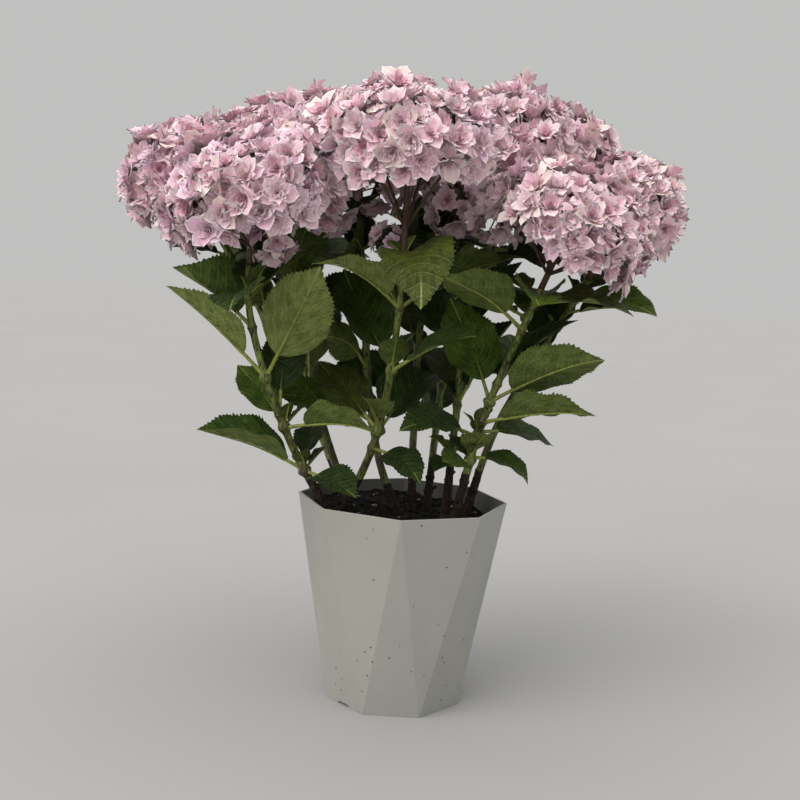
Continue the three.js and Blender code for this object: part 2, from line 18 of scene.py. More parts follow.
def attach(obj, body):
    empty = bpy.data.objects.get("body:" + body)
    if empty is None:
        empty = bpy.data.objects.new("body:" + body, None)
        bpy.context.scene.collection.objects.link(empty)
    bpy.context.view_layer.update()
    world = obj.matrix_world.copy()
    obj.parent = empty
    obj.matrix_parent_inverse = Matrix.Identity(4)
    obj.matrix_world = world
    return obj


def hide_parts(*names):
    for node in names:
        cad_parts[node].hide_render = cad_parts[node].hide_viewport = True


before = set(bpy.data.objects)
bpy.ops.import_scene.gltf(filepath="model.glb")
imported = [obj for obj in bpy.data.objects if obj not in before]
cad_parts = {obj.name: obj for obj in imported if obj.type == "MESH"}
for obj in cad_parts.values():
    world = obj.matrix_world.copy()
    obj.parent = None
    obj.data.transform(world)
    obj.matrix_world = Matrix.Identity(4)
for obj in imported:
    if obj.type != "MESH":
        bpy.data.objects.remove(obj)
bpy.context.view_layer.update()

MM = 0.001
UP = np.array([0.0, 0.0, 1.0])

# Pot and soil, as in the solids
CORNERS = 8
RIM_RADIUS = 110
FOOT_RADIUS = 75
POT_HEIGHT = 211
WALL = 2.8
SOIL_TOP = 193
FOOT_DEPTH = 8

# Stems
CANE_FLARE = 7.5
CANE_RADIUS = 5
BARK_END = 0.17
SHOOT_RADIUS = 4.2
SHOOT_END = 0.8
PEDUNCLE_RADIUS = 3.2
STALK_END_RADIUS = 2.6
STALK_END = 0.97
FLARE_SHARE = 1 / 3
LINE_STEPS = 60
FIRST_SEED = 101
SEED_STEP = 17
# What each stem draws random numbers for, each with a stream of its own
STREAMS = (
    "shoot", "florets", "sepals", "inner", "settling", "cane", "bark", "fine_bark", "skin", "leaves", "axils",
    "collar",
)

# Leaves, and the room that they keep
LEAF_LENGTH = 94
LEAF_HALF_WIDTH = 0.335
LEAF_FOLD = 0.16
TROUGH = {"fold": 0.5, "until": 0.4}
LEAF_SPREAD = {"azimuth": 4, "lift": 3, "droop": 6, "roll": 12, "length": 0.05, "petiole": 0.2}
BLADE_SHAPE = {"scale": 2.74, "base": 0.62, "tip": 0.86}
PETIOLE = 26
PETIOLE_SAMPLES = np.array([0.5, 0.9])
BLADE_SAMPLES = np.array([0.05, 0.2, 0.35, 0.5, 0.65, 0.8, 0.95])
SIDE_SAMPLES = np.array([-0.85, -0.4, 0, 0.4, 0.85])
LEAF_ROOM = 12
STEM_ROOM = 12
HEAD_ROOM = 10
SOIL_ROOM = 8
RIM_ROOM = {"above": 6, "from": 86}
LIGHT = np.array([0, -0.75, 0.65])
TURN_TO_LIGHT = 0.45
SIZES = (1, 0.85, 0.7)
AIMS = (
    (0, 0), (14, 0), (-14, 0), (0, 12), (0, -12), (28, 0), (-28, 0), (20, 14), (-20, 14), (20, -14),
    (-20, -14), (42, 0), (-42, 0), (0, 26), (0, -26), (36, 20), (-36, 20), (36, -20), (-36, -20), (58, 0),
    (-58, 0),
)

# Flower heads
CROWN_FOCUS = np.array([0, 0, 100.0])
CAD_FLORET_RADIUS = 25
DOME_DEPTH = 1 - math.cos(math.radians(114))
FLORET_ROOM = 4
FLORET_SPREAD = {"tilt": 0.16, "lift": 3, "size": 0.1}
FLORET_AREA = 405
# The stalk inside a head, its rays and the fine stalks of the florets. A rod has its radii, sides and rings.
INNER_STALK = {"rings": 14, "sides": 10}
RAY = {
    "count": 5, "fork": 0.25, "out": 0.55, "below": 0.15, "rod": ((1.7, 1.3), 7, 5),
    "forks": np.array([0.45, 0.7, 0.85, 1]), "joints": np.array([0.9, 0.94, STALK_END]),
}
FINE_STALK = {"radii": (0.95, 0.7), "rings": 5, "sides": 4, "bend": 0.12}
GOLDEN_ANGLE = math.pi * (3 - math.sqrt(5))

# Each stem: its foot on the soil, two points that it passes, the middle of its flower head, the head's half
# width and half height, and its leaf pairs. A pair has its place along the stem from 0 to 1, the direction of
# its first leaf from +X, how far that leaf and the opposite one lift (None where the opposite one has
# dropped), how far both droop, in degrees, and their size. A last number is how much of the way its blades
# turn to the light, where that isn't the usual share.
STEMS = {
    "left_front": (
        ((-68, -28), (-121, -41, 280), (-160, -56, 400), (-154, -73, 509)), (91, 65),
        ((0.2, 200, 30, None, 20, 1, 0.1), (0.2, 314, -2, None, 15, 0.6, 0.6),
         (0.225, 100, 40, None, 15, 0.55), (0.345, 335, 15, None, 28, 0.95, -0.5),
         (0.35, 140, 42, None, 15, 0.75, 0.6), (0.385, 86, 56, None, 15, 0.82, 0.8),
         (0.487, 198, 47, None, 10, 1.08, -0.2), (0.487, 320, 58, None, 10, 1.16, -0.4),
         (0.62, 150, 36, None, 20, 0.95, 0.1), (0.7, 240, 32, 36, 25, 0.9, -0.4)),
    ),
    "centre_front": (
        ((-66, -8), (-30, -32, 280), (-14, -58, 400), (-11, -95, 562)), (78, 57),
        ((0.29, 318, -8, None, 30, 0.66, 0.8), (0.35, 134, 38, None, 15, 0.88, 0.8),
         (0.345, 44, 45, None, 15, 0.9, 0.6), (0.36, 222, 20, None, 30, 0.62, 0.6),
         (0.53, 318, 32, None, 20, 0.93, 0.6), (0.54, 134, 50, None, 15, 1.02, 0.9),
         (0.69, 206, 38, 35, 30, 0.98, 0.2), (0.79, 282, 12, None, 85, 1.05, 0.8),
         (0.79, 100, 35, None, 40, 0.8)),
    ),
    "right_front": (
        ((52, -24), (76, -34, 300), (110, -52, 400), (142, -80, 490)), (76, 58),
        ((0.21, 228, 10, None, 20, 0.52, 0.9), (0.22, 326, 6, None, 60, 0.62, 0.5),
         (0.285, 212, 22, None, 30, 0.82, 0.45), (0.3, 26, 4, None, 30, 0.74, 0.5),
         (0.4, 326, 28, None, 14, 1.08, -0.45), (0.33, 10, 34, None, 15, 1, -0.4),
         (0.4, 134, 64, None, 14, 1.04, 0.9), (0.46, 50, 50, None, 25, 0.85, 0.6),
         (0.65, 220, 46, 40, 40, 0.95, -0.4), (0.76, 95, 30, None, 50, 0.8)),
    ),
    "left_back": (
        ((-52, 6), (-92, 27, 285), (-138, 60, 410), (-150, 82, 556)), (86, 64),
        ((0.435, -50, 68, 50, 12, 1, 0.1), (0.53, 20, 60, 55, 20, 0.95), (0.64, -95, 58, 50, 40, 0.9, 0.2),
         (0.75, -10, 30, 35, 50, 0.95)),
    ),
    "right_back": (
        ((45, -8), (52, 20, 300), (62, 42, 420), (116, 52, 563)), (88, 70),
        ((0.2, -110, 5, None, 40, 0.4, 0.8), (0.36, -36, 66, 40, 15, 0.92, 0.2),
         (0.525, 15, 55, 60, 30, 0.95), (0.64, 110, 50, 50, 50, 0.95), (0.75, 175, 40, 45, 60, 0.9)),
    ),
    "far_right": (
        ((64, 8), (98, 14, 296), (156, 16, 405), (213, 5, 515)), (57, 59),
        ((0.44, 95, 45, None, 40, 0.85), (0.51, 36, 54, None, 12, 0.98, 0.2), (0.64, 80, 45, 50, 40, 0.8),
         (0.74, 24, 34, 40, 30, 0.6)),
    ),
    "centre_back": (
        ((10, 26), (8, 48, 290), (14, 62, 420), (68, 72, 575)), (74, 62),
        ((0.38, 30, 55, 50, 40, 0.95), (0.52, -70, 60, 50, 50, 0.95), (0.65, 170, 50, 50, 50, 0.95),
         (0.76, 80, 40, 30, 70, 0.8)),
    ),
    "far_left": (
        ((-58, 42), (-108, 66, 290), (-178, 44, 420), (-241, 2, 530)), (61, 56),
        ((0.3, 95, 55, None, 30, 0.9), (0.42, 80, 55, None, 35, 0.9), (0.58, 100, 50, 50, 35, 0.85),
         (0.76, 205, 20, 35, 30, 0.5)),
    ),
    "centre": (
        ((-2, 2), (-32, 14, 265), (-52, 26, 400), (-66, 34, 578)), (72, 55),
        ((0.4, 10, 50, 50, 40, 0.95), (0.54, 95, 50, 60, 40, 0.95), (0.65, 185, 50, 50, 45, 0.9),
         (0.76, 110, 35, 50, 50, 0.8)),
    ),
    "back": (
        ((26, 42), (34, 84, 290), (44, 130, 420), (42, 168, 568)), (67, 53),
        ((0.3, 70, 50, 60, 40, 0.9), (0.42, 160, 50, 50, 40, 0.95), (0.54, 60, 50, 60, 40, 0.95),
         (0.66, 5, 50, 50, 45, 0.9), (0.77, 75, 35, 50, 50, 0.8)),
    ),
}
# Small branches of florets under the crown: the stem that each leaves and where, the middle of its florets,
# how many there are, how far they stand from that middle and their size
BRANCHES = (
    ("centre_front", 0.72, (-30, -62, 476), 7, 11, 0.56),
    ("centre_back", 0.86, (38, 16, 517), 16, 27, 0.86),
    ("left_front", 0.86, (-141, -58, 472), 8, 19, 0.9),
    ("centre", 0.82, (-92, -24, 512), 13, 25, 0.9),
    ("centre", 0.86, (-42, 22, 534), 9, 23, 0.85),
    ("right_front", 0.88, (79, -46, 510), 12, 24, 0.92),
)
# Where a head's florets end below: a point, and the direction of the side that they stay on
TRIMS = {
    "right_front": ((112, -80, 484), (0.55, 0, 0.84)),
    "far_right": ((212, 5, 486), (0, 0, 1)),
}


# Vectors, random numbers and curves


def unit(vectors):
    return vectors / np.linalg.norm(vectors, axis=-1, keepdims=True)


def side_of(along):
    """A direction square to the one given, which turns smoothly along an upright stem."""
    reference = np.array([0.0, 1.0, 0.0]) if abs(along[1]) < 0.9 else np.array([1.0, 0.0, 0.0])
    return unit(np.cross(reference, along))


def level(angle, rise=0.0):
    """A direction at an angle from +X in the plane, with its rise."""
    return np.array([math.cos(angle), math.sin(angle), rise])


def compass(angles):
    """X and Y of the directions at angles from +X."""
    return np.stack([np.cos(angles), np.sin(angles)], axis=-1)


def round_turn(count):
    """Angles evenly spread over a full turn."""
    return np.arange(count) * 2 * math.pi / count


def between(span, part):
    """The value at a part, from 0 to 1, of the way through a span."""
    return span[0] + (span[1] - span[0]) * part


def smooth_step(low, high, value):
    t = np.clip((value - low) / (high - low), 0, 1)
    return t * t * (3 - 2 * t)


class Stream:
    """Numbers from 0 to 1 that are the same in every run."""

    def __init__(self, seed):
        self.state = seed

    def draw(self):
        self.state = (self.state * 1664525 + 1013904223) % 2**32
        return self.state / 2**32

    def spread(self, size):
        return (2 * self.draw() - 1) * size

    def spreads(self, size, count):
        return np.array([self.spread(size) for _ in range(count)])

    def turn(self):
        return 2 * math.pi * self.draw()

    def within(self, span, power=1):
        """A number within a span, nearer its start the higher the power."""
        return between(span, self.draw() ** power)


class Curve:
    """A smooth line through its stops, at places from 0 to 1."""

    def __init__(self, stops):
        stops = np.array(stops, float)
        before, after = 2 * stops[0] - stops[1], 2 * stops[-1] - stops[-2]
        self.stops = np.array([before, *stops, after])

    def at(self, place):
        spans = len(self.stops) - 3
        place = np.asarray(place, float) * spans
        span = np.clip(np.floor(place).astype(int), 0, spans - 1)
        t = (place - span)[..., None]
        a, b, c, d = (self.stops[span + i] for i in range(4))
        leaving, arriving = (c - a) / 2, (d - b) / 2
        bend = 3 * (c - b) - 2 * leaving - arriving
        return b + leaving * t + bend * t**2 + (2 * (b - c) + leaving + arriving) * t**3

    def along(self, place, step=1e-4):
        place = np.asarray(place, float)
        return unit(self.at(np.minimum(place + step, 1)) - self.at(np.maximum(place - step, 0)))


WAVE_COUNT = 7
WAVE_PACES = (0.6, 1.5)
TUBE_TIP = 1e-3


def waves(points, scale, seed):
    """Smooth uneven heights from -1 to 1 over points, with bumps about scale across."""
    random = Stream(seed)
    total = np.zeros(points.shape[:-1])
    for _ in range(WAVE_COUNT):
        direction = unit(random.spreads(1, 3))
        pace = 2 * math.pi / scale * random.within(WAVE_PACES)
        total += np.sin(points @ direction * pace + random.turn())
    return total / math.sqrt(2 * WAVE_COUNT)


# Meshes


class Sheets:
    """Grids of points gathered into one mesh, each grid with a material slot and pattern coordinates."""

    def __init__(self):
        self.points, self.quads, self.slots, self.pattern, self.baked = [], [], [], [], []
        self.count = 0

    def add(self, points, slot, pattern=None, baked=None, ring=False):
        """Points run in rows and columns. A ring joins each row's last column to its first."""
        rows, columns = points.shape[:2]
        index = np.arange(rows * columns).reshape(rows, columns) + self.count
        right = np.roll(index, -1, axis=1) if ring else index[:, 1:]
        left = index if ring else index[:, :-1]
        quads = np.stack([left[:-1], right[:-1], right[1:], left[1:]], axis=-1).reshape(-1, 4)
        self.quads.append(quads)
        self.points.append(points.reshape(-1, 3))
        self.slots.append(np.full(len(quads), slot))
        blank = np.zeros((rows, columns, 2))
        self.pattern.append((blank if pattern is None else pattern).reshape(-1, 2))
        self.baked.append((blank if baked is None else baked).reshape(-1, 2))
        self.count += rows * columns

    def add_rod(self, start, end, radii, sides, rings, slot=0):
        """A straight rod, whose ends are hidden in what it joins or too thin to see."""
        self.add(straight_tube(start, end, radii, sides, rings), slot, ring=True)

    def piece(self, name, materials, slot, replaced, maps=()):
        """The gathered mesh as an object that rides on the plant and stands for the named solids."""
        points = np.concatenate(self.points) * MM
        quads = np.concatenate(self.quads)
        mesh = bpy.data.meshes.new(name)
        mesh.vertices.add(len(points))
        mesh.vertices.foreach_set("co", points.ravel())
        mesh.loops.add(quads.size)
        mesh.loops.foreach_set("vertex_index", quads.ravel())
        mesh.polygons.add(len(quads))
        mesh.polygons.foreach_set("loop_start", np.arange(len(quads)) * 4)
        mesh.polygons.foreach_set("material_index", np.concatenate(self.slots))
        mesh.polygons.foreach_set("use_smooth", np.ones(len(quads), bool))
        for label, values in zip(maps, (self.pattern, self.baked)):
            layer = mesh.uv_layers.new(name=label, do_init=False)
            layer.uv.foreach_set("vector", np.concatenate(values)[quads.ravel()].ravel())
        for material in materials:
            mesh.materials.append(material)
        mesh.update(calc_edges=True)
        mesh.validate()
        place(name, mesh, slot, replaced)


def place(name, mesh, slot, replaced):
    """Puts a mesh in the scene as a piece of the plant."""
    piece = bpy.data.objects.new(name, mesh)
    bpy.context.scene.collection.objects.link(piece)
    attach(piece, "root")
    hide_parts(*replaced)
    return piece


def tube(centres, alongs, radii, sides, dents=1.0):
    """Rows of points round a line. dents multiplies the radius of each point."""
    cosine, sine = compass(round_turn(sides)).T[:, None, :, None]
    across = np.array([side_of(a) for a in alongs])
    up = np.cross(alongs, across)
    reach = np.asarray(radii, float)[:, None] * (np.ones(sides) * dents)
    return centres[:, None] + (cosine * across[:, None] + sine * up[:, None]) * reach[..., None]


def closed_tube(centres, alongs, radii, sides, dents=1.0):
    """A tube with both ends drawn to a point, so that it's a closed surface."""
    dents = dents * np.ones((len(centres), sides))
    centres, alongs, dents = (np.concatenate([v[:1], v, v[-1:]]) for v in (centres, alongs, dents))
    return tube(centres, alongs, [TUBE_TIP, *radii, TUBE_TIP], sides, dents)


def straight_tube(start, end, radii, sides, rings):
    centres = start + np.linspace(0, 1, rings)[:, None] * (end - start)
    alongs = np.repeat(unit(end - start)[None], rings, axis=0)
    return tube(centres, alongs, np.interp(np.linspace(0, 1, rings), [0, 1], radii), sides)


# The growing rule


@dataclass
class Leaf:
    root: np.ndarray
    azimuth: float
    lift: float
    droop: float
    roll: float
    length: float
    petiole: float
    fold: float = LEAF_FOLD

    def heading(self):
        return level(self.azimuth)

    def petiole_direction(self):
        return math.cos(self.lift) * self.heading() + math.sin(self.lift) * UP

    def base(self):
        return self.root + self.petiole * self.petiole_direction()

    def spine(self, places):
        """The midrib at places from 0 to 1: points, and the directions along, across and up from there."""
        lift = self.lift - self.droop * places
        out = self.length * (np.sin(self.lift) - np.sin(lift)) / self.droop
        rise = self.length * (np.cos(lift) - np.cos(self.lift)) / self.droop
        points = self.base() + out[:, None] * self.heading() + rise[:, None] * UP
        along = np.cos(lift)[:, None] * self.heading() + np.sin(lift)[:, None] * UP
        flat = np.cross(UP, self.heading())
        upright = np.cross(along, flat)
        across = flat * math.cos(self.roll) + upright * math.sin(self.roll)
        up = upright * math.cos(self.roll) - flat * math.sin(self.roll)
        return points, along, across, up

    def samples(self):
        stalk = self.root + PETIOLE_SAMPLES[:, None] * (self.base() - self.root)
        points, _, across, up = self.spine(BLADE_SAMPLES)
        reach = self.length * blade_half(BLADE_SAMPLES)[:, None] * SIDE_SAMPLES
        blade = points[:, None] + reach[..., None] * across[:, None]
        blade = blade + (np.abs(reach) * self.fold)[..., None] * up[:, None]
        return np.concatenate([stalk, blade.reshape(-1, 3)])


def blade_half(places):
    """Half the blade's width at places along it, as a share of its length."""
    shape = places ** BLADE_SHAPE["base"] * (1 - places) ** BLADE_SHAPE["tip"]
    return LEAF_HALF_WIDTH * BLADE_SHAPE["scale"] * shape


class Head:
    def __init__(self, centre, size):
        self.centre = np.array(centre, float)
        self.axis = unit(self.centre - CROWN_FOCUS)
        self.east = side_of(self.axis)
        self.north = np.cross(self.axis, self.east)
        self.width, self.height = size

    def distance(self, points, room):
        """How far points are from the middle, where 1 is the dome's own surface with room to spare."""
        offset = points - self.centre
        across = np.hypot(offset @ self.east, offset @ self.north) / (self.width + room)
        return np.hypot(across, offset @ self.axis / (self.height + room))

    def reach(self, direction):
        across = math.hypot(direction @ self.east, direction @ self.north) / self.width
        return 1 / math.hypot(across, direction @ self.axis / self.height)

    def local(self, east, north, up):
        return east * self.east + north * self.north + up * self.axis


class Stem:
    def __init__(self, index, name):
        (foot, *others), size, self.pairs = STEMS[name]
        self.name = name
        self.curve = Curve([(*foot, SOIL_TOP - FOOT_DEPTH), *others])
        self.line = self.curve.at(np.linspace(0, 1, LINE_STEPS + 1))
        self.head = Head(others[-1], size)
        self.seed = FIRST_SEED + SEED_STEP * index
        self.collar = []

    def salted(self, purpose):
        """The seed for one of the stem's own streams of random numbers."""
        return self.seed + STREAMS.index(purpose)

    def add_tube(self, sheets, places, radii, sides, slot=0, relief=()):
        """A closed tube along part of the stem. Relief has a depth, a scale, a stretch and a purpose each."""
        centres, alongs = self.curve.at(places), self.curve.along(places)
        skin = tube(centres, alongs, radii, sides)
        dents = 1.0
        for depth, scale, stretch, purpose in relief:
            dents = dents + depth * waves(skin * np.array([1, 1, stretch]), scale, self.salted(purpose))
        sheets.add(closed_tube(centres, alongs, radii, sides, dents), slot, ring=True)

    def branches(self):
        """The foot, tip and florets of each small branch that leaves this stem."""
        for owner, spot, tip, count, reach, size in BRANCHES:
            if owner == self.name:
                tip = np.array(tip, float)
                yield self.curve.at(spot), tip, branch_florets(tip, count, reach, size)


def partings(stem, stems):
    """The planes where neighbouring heads press against each other."""
    planes = []
    for other in stems:
        if other is stem:
            continue
        apart = other.head.centre - stem.head.centre
        distance = np.linalg.norm(apart)
        direction = apart / distance
        own, its = stem.head.reach(direction), other.head.reach(direction)
        if distance <= own + its + 2 * CAD_FLORET_RADIUS:
            planes.append((stem.head.centre + direction * distance * own / (own + its), direction))
    return planes


def clear_of(samples, points, room):
    return np.linalg.norm(samples[:, None] - points, axis=-1).min() >= room


def has_room(samples, taken, stems, owner):
    """Whether a leaf is clear of the soil, the pot's rim, the flower heads, the other leaves and stems."""
    if samples[:, 2].min() < SOIL_TOP + SOIL_ROOM:
        return False
    low = samples[:, 2] < POT_HEIGHT + RIM_ROOM["above"]
    if (low & (np.hypot(samples[:, 0], samples[:, 1]) > RIM_ROOM["from"])).any():
        return False
    if any(stem.head.distance(samples, HEAD_ROOM).min() < 1 for stem in stems):
        return False
    others = [(np.concatenate(taken), LEAF_ROOM)] if taken else []
    others += [(stem.line, STEM_ROOM) for stem in stems if stem is not owner]
    return all(clear_of(samples, points, room) for points, room in others)


def placed_leaf(wish, taken, stems, owner):
    """The wished leaf, turned, lifted or made smaller until it has room, or None."""
    for size in SIZES:
        for turn, lift in AIMS:
            leaf = replace(
                wish,
                azimuth=wish.azimuth + math.radians(turn),
                lift=wish.lift + math.radians(lift),
                length=wish.length * size,
            )
            samples = leaf.samples()
            if has_room(samples, taken, stems, owner):
                taken.append(samples)
                return leaf
    return None


def roll_to_light(leaf):
    """The roll that would turn a blade's upper face as far to the light as it goes."""
    _, _, across, up = replace(leaf, roll=0).spine(np.zeros(1))
    return math.atan2(-across[0] @ LIGHT, up[0] @ LIGHT)


def shoot_leaves(stem, taken, stems):
    """The leaf pairs of a stem, as its row gives them, each placed where it has room."""
    random = Stream(stem.salted("shoot"))
    leaves = []
    for spot, azimuth, first_lift, second_lift, droop, size, *turned in stem.pairs:
        turn = turned[0] if turned else TURN_TO_LIGHT
        for side, lift in ((0, first_lift), (180, second_lift)):
            if lift is None:
                continue
            wish = Leaf(
                root=stem.curve.at(spot),
                azimuth=math.radians(azimuth + side + random.spread(LEAF_SPREAD["azimuth"])),
                lift=math.radians(lift + random.spread(LEAF_SPREAD["lift"])),
                droop=math.radians(droop + random.spread(LEAF_SPREAD["droop"])),
                roll=math.radians(random.spread(LEAF_SPREAD["roll"])),
                length=LEAF_LENGTH * size * (1 + random.spread(LEAF_SPREAD["length"])),
                petiole=PETIOLE * size * (1 + random.spread(LEAF_SPREAD["petiole"])),
                fold=LEAF_FOLD + TROUGH["fold"] * max(0, 1 - abs(turn) / TROUGH["until"]),
            )
            wish.roll += turn * roll_to_light(wish)
            leaf = placed_leaf(wish, taken, stems, stem)
            if leaf:
                leaves.append(leaf)
    return leaves


@dataclass
class Floret:
    centre: np.ndarray
    facing: np.ndarray
    spin: float
    size: float


def spread_over(count, depth, start=0.0):
    """Directions evenly spread over a dome: each one's turn round the axis, then its east, north and up."""
    for i in range(count):
        polar = math.acos(1 - depth * (i + 0.5) / count)
        turn = i * GOLDEN_ANGLE + start
        yield turn, *(math.sin(polar) * compass(turn)), math.cos(polar)


def head_florets(stem, stems, area=FLORET_AREA, depth=0.0, purpose="florets"):
    """Florets spread evenly over the dome of a head, each facing out. Those past a parting are left out."""
    head = stem.head
    random = Stream(stem.salted(purpose))
    mean = (2 * head.width + head.height) / 3
    count = round(2 * math.pi * mean**2 * DOME_DEPTH / area)
    florets = []
    for _, east, north, up in spread_over(count, DOME_DEPTH, stem.seed):
        tilt = random.spreads(FLORET_SPREAD["tilt"], 2)
        lift = random.spread(FLORET_SPREAD["lift"])
        spin = random.turn()
        size = 1 + random.spread(FLORET_SPREAD["size"])
        width, height = head.width - depth, head.height - depth
        centre = head.centre + head.local(width * east, width * north, height * up)
        facing = unit(head.local(east / width, north / width, up / height))
        facing = unit(facing + tilt[0] * head.east + tilt[1] * head.north)
        centre = centre + lift * facing
        beyond = any((centre - point) @ direction > FLORET_ROOM for point, direction in stem.planes)
        room = size * FLORET_RADIUS + FLORET_ROOM
        on_stem = any(
            np.linalg.norm(other.line - centre, axis=1).min() < room for other in stems if other is not stem
        )
        if not beyond and not on_stem:
            florets.append(Floret(centre, facing, spin, size))
    return florets


# Materials


def srgb(*swatch):
    """A linear colour from a swatch's red, green and blue in sRGB, from 0 to 255."""
    shares = [value / 255 for value in swatch]
    return (*(share / 12.92 if share <= 0.04045 else ((share + 0.055) / 1.055) ** 2.4 for share in shares), 1)


class Graph:
    """A material and its nodes. A number or colour that is the same all over goes straight to the shader."""

    def __init__(self, name, **plain):
        self.material = bpy.data.materials.new(name)
        self.material.use_nodes = True
        self.nodes = self.material.node_tree.nodes
        self.shader = self.nodes["Principled BSDF"]
        for key, value in plain.items():
            self.shader.inputs[key.replace("_", " ").title().replace("Ior", "IOR")].default_value = value

    def put(self, socket, value):
        if isinstance(value, bpy.types.NodeSocket):
            self.material.node_tree.links.new(value, socket)
        else:
            socket.default_value = value

    def add(self, kind, inputs, output=0, **settings):
        node = self.nodes.new("ShaderNode" + kind)
        for key, value in settings.items():
            setattr(node, key, value)
        for key, value in inputs.items():
            self.put(node.inputs[key], value)
        return node.outputs[output]

    def math(self, operation, *values):
        return self.add("Math", dict(enumerate(values)), operation=operation)

    def times(self, first, second):
        return self.math("MULTIPLY", first, second)

    def mix(self, factor, first, second):
        return self.add("Mix", {0: factor, 6: first, 7: second}, output=2, data_type="RGBA")

    def paint(self, colour, where, amount, over):
        """A colour with another laid over it by an amount, where a mask says so."""
        return self.mix(self.times(where, amount), colour, over)

    def span(self, value, low, high, start=0.0, end=1.0):
        """The value from low to high as start to end, smoothly, and flat outside."""
        sockets = {"Value": value, "From Min": low, "From Max": high, "To Min": start, "To Max": end}
        return self.add("MapRange", sockets, interpolation_type="SMOOTHSTEP")

    def noise(self, vector, scale, detail=3.0, roughness=0.55):
        sockets = {"Vector": vector, "Scale": scale, "Detail": detail, "Roughness": roughness}
        return self.add("TexNoise", sockets)

    def cells(self, vector, scale, feature="F1", output=0):
        return self.add("TexVoronoi", {"Vector": vector, "Scale": scale}, output=output, feature=feature)

    def stretched(self, vector, x, y, z):
        return self.add("VectorMath", {0: vector, 1: (x, y, z)}, operation="MULTIPLY")

    def place(self):
        """The place on the object, in metres."""
        return self.add("TexCoord", {}, output=3)

    def parts(self, vector):
        """A vector's X, Y and Z."""
        split = self.nodes.new("ShaderNodeSeparateXYZ")
        self.put(split.inputs[0], vector)
        return split.outputs

    def map(self, name):
        """The two coordinates of a named map, and the map as a vector."""
        vector = self.add("UVMap", {}, uv_map=name)
        first, second, _ = self.parts(vector)
        return first, second, vector

    def finish(self, colour, roughness=None, height=None, depth=0.001, strength=1.0):
        self.put(self.shader.inputs["Base Color"], colour)
        if roughness is not None:
            self.put(self.shader.inputs["Roughness"], roughness)
        if height is not None:
            sockets = {"Height": height, "Distance": depth, "Strength": strength}
            self.put(self.shader.inputs["Normal"], self.add("Bump", sockets))
        return self.material


SPECK_CELLS = 120.0


def pot_plastic():
    """Pale moulded plastic with sparse dark specks, scuffs near the foot, a very fine grain and painted shade
    on its inner wall.
    """
    g = Graph("pot_plastic", roughness=0.5)
    spot = g.place()
    height = g.parts(spot)[2]
    cloud = g.noise(spot, 9.0, detail=5)
    colour = g.mix(g.span(cloud, 0.35, 0.7), srgb(162, 162, 154), srgb(156, 156, 148))
    scuff = g.noise(g.stretched(spot, 1, 1, 0.3), 120.0, detail=4)
    scuffed = g.times(g.span(scuff, 0.62, 0.78, 0, 0.35), g.span(height, 0.09, 0.0))
    colour = g.mix(scuffed, colour, srgb(150, 146, 134))
    chance = g.add("TexWhiteNoise", {"Vector": g.cells(spot, SPECK_CELLS, output=2)})
    rare = g.math("GREATER_THAN", chance, g.span(height, 0.02, 0.15, 0.55, 0.9))
    speck = g.times(g.span(g.cells(spot, SPECK_CELLS), 0.15, 0.1), rare)
    colour = g.paint(colour, speck, 0.85, srgb(46, 44, 40))
    # Painted shade: the inner wall, whose faces look towards the axis, is made darker.
    sockets = {0: g.add("TexCoord", {}, output=1), 1: g.stretched(spot, 1, 1, 0)}
    outward = g.add("VectorMath", sockets, output=1, operation="DOT_PRODUCT")
    inside = g.math("LESS_THAN", outward, -0.01)
    colour = g.paint(colour, inside, 0.75, srgb(82, 80, 76))
    grain = g.noise(spot, 900.0, detail=2)
    return g.finish(colour, g.span(cloud, 0.3, 0.75, 0.42, 0.58), grain, depth=0.00004, strength=0.6)


def soil_mix():
    """Damp dark potting mix."""
    g = Graph("soil_mix", roughness=0.95, specular_ior_level=0.25)
    lumps = g.noise(g.place(), 160.0, detail=6, roughness=0.7)
    colour = g.mix(g.span(lumps, 0.35, 0.7), srgb(9, 8, 7), srgb(32, 27, 23))
    return g.finish(colour, g.span(lumps, 0.4, 0.7, 0.98, 0.7), lumps, depth=0.0015)


def crumb(name, colour):
    """A lump of one colour, with painted shade in the hollows of its grain."""
    g = Graph(name, roughness=0.9, specular_ior_level=0.3)
    grain = g.noise(g.place(), 700.0, detail=3)
    # Painted shade where the grain sinks.
    hollow_shade = tuple(0.45 * c for c in colour[:3]) + (1,)
    return g.finish(g.mix(grain, hollow_shade, colour), None, grain, depth=0.0004)


def bark():
    """Brown bark that flakes lengthways, with paler ridges and dark cracks."""
    g = Graph("cane_bark", roughness=0.85, specular_ior_level=0.3)
    spot = g.place()
    strips = g.noise(g.stretched(spot, 1, 1, 0.16), 520.0, detail=5, roughness=0.65)
    flakes = g.noise(g.stretched(spot, 1, 1, 0.5), 130.0, detail=4)
    colour = g.mix(g.span(strips, 0.3, 0.7), srgb(17, 12, 10), srgb(60, 44, 34))
    colour = g.mix(g.span(flakes, 0.5, 0.7, 0, 0.7), colour, srgb(34, 23, 18))
    return g.finish(colour, g.span(strips, 0.3, 0.7, 0.95, 0.7), strips, depth=0.0009)


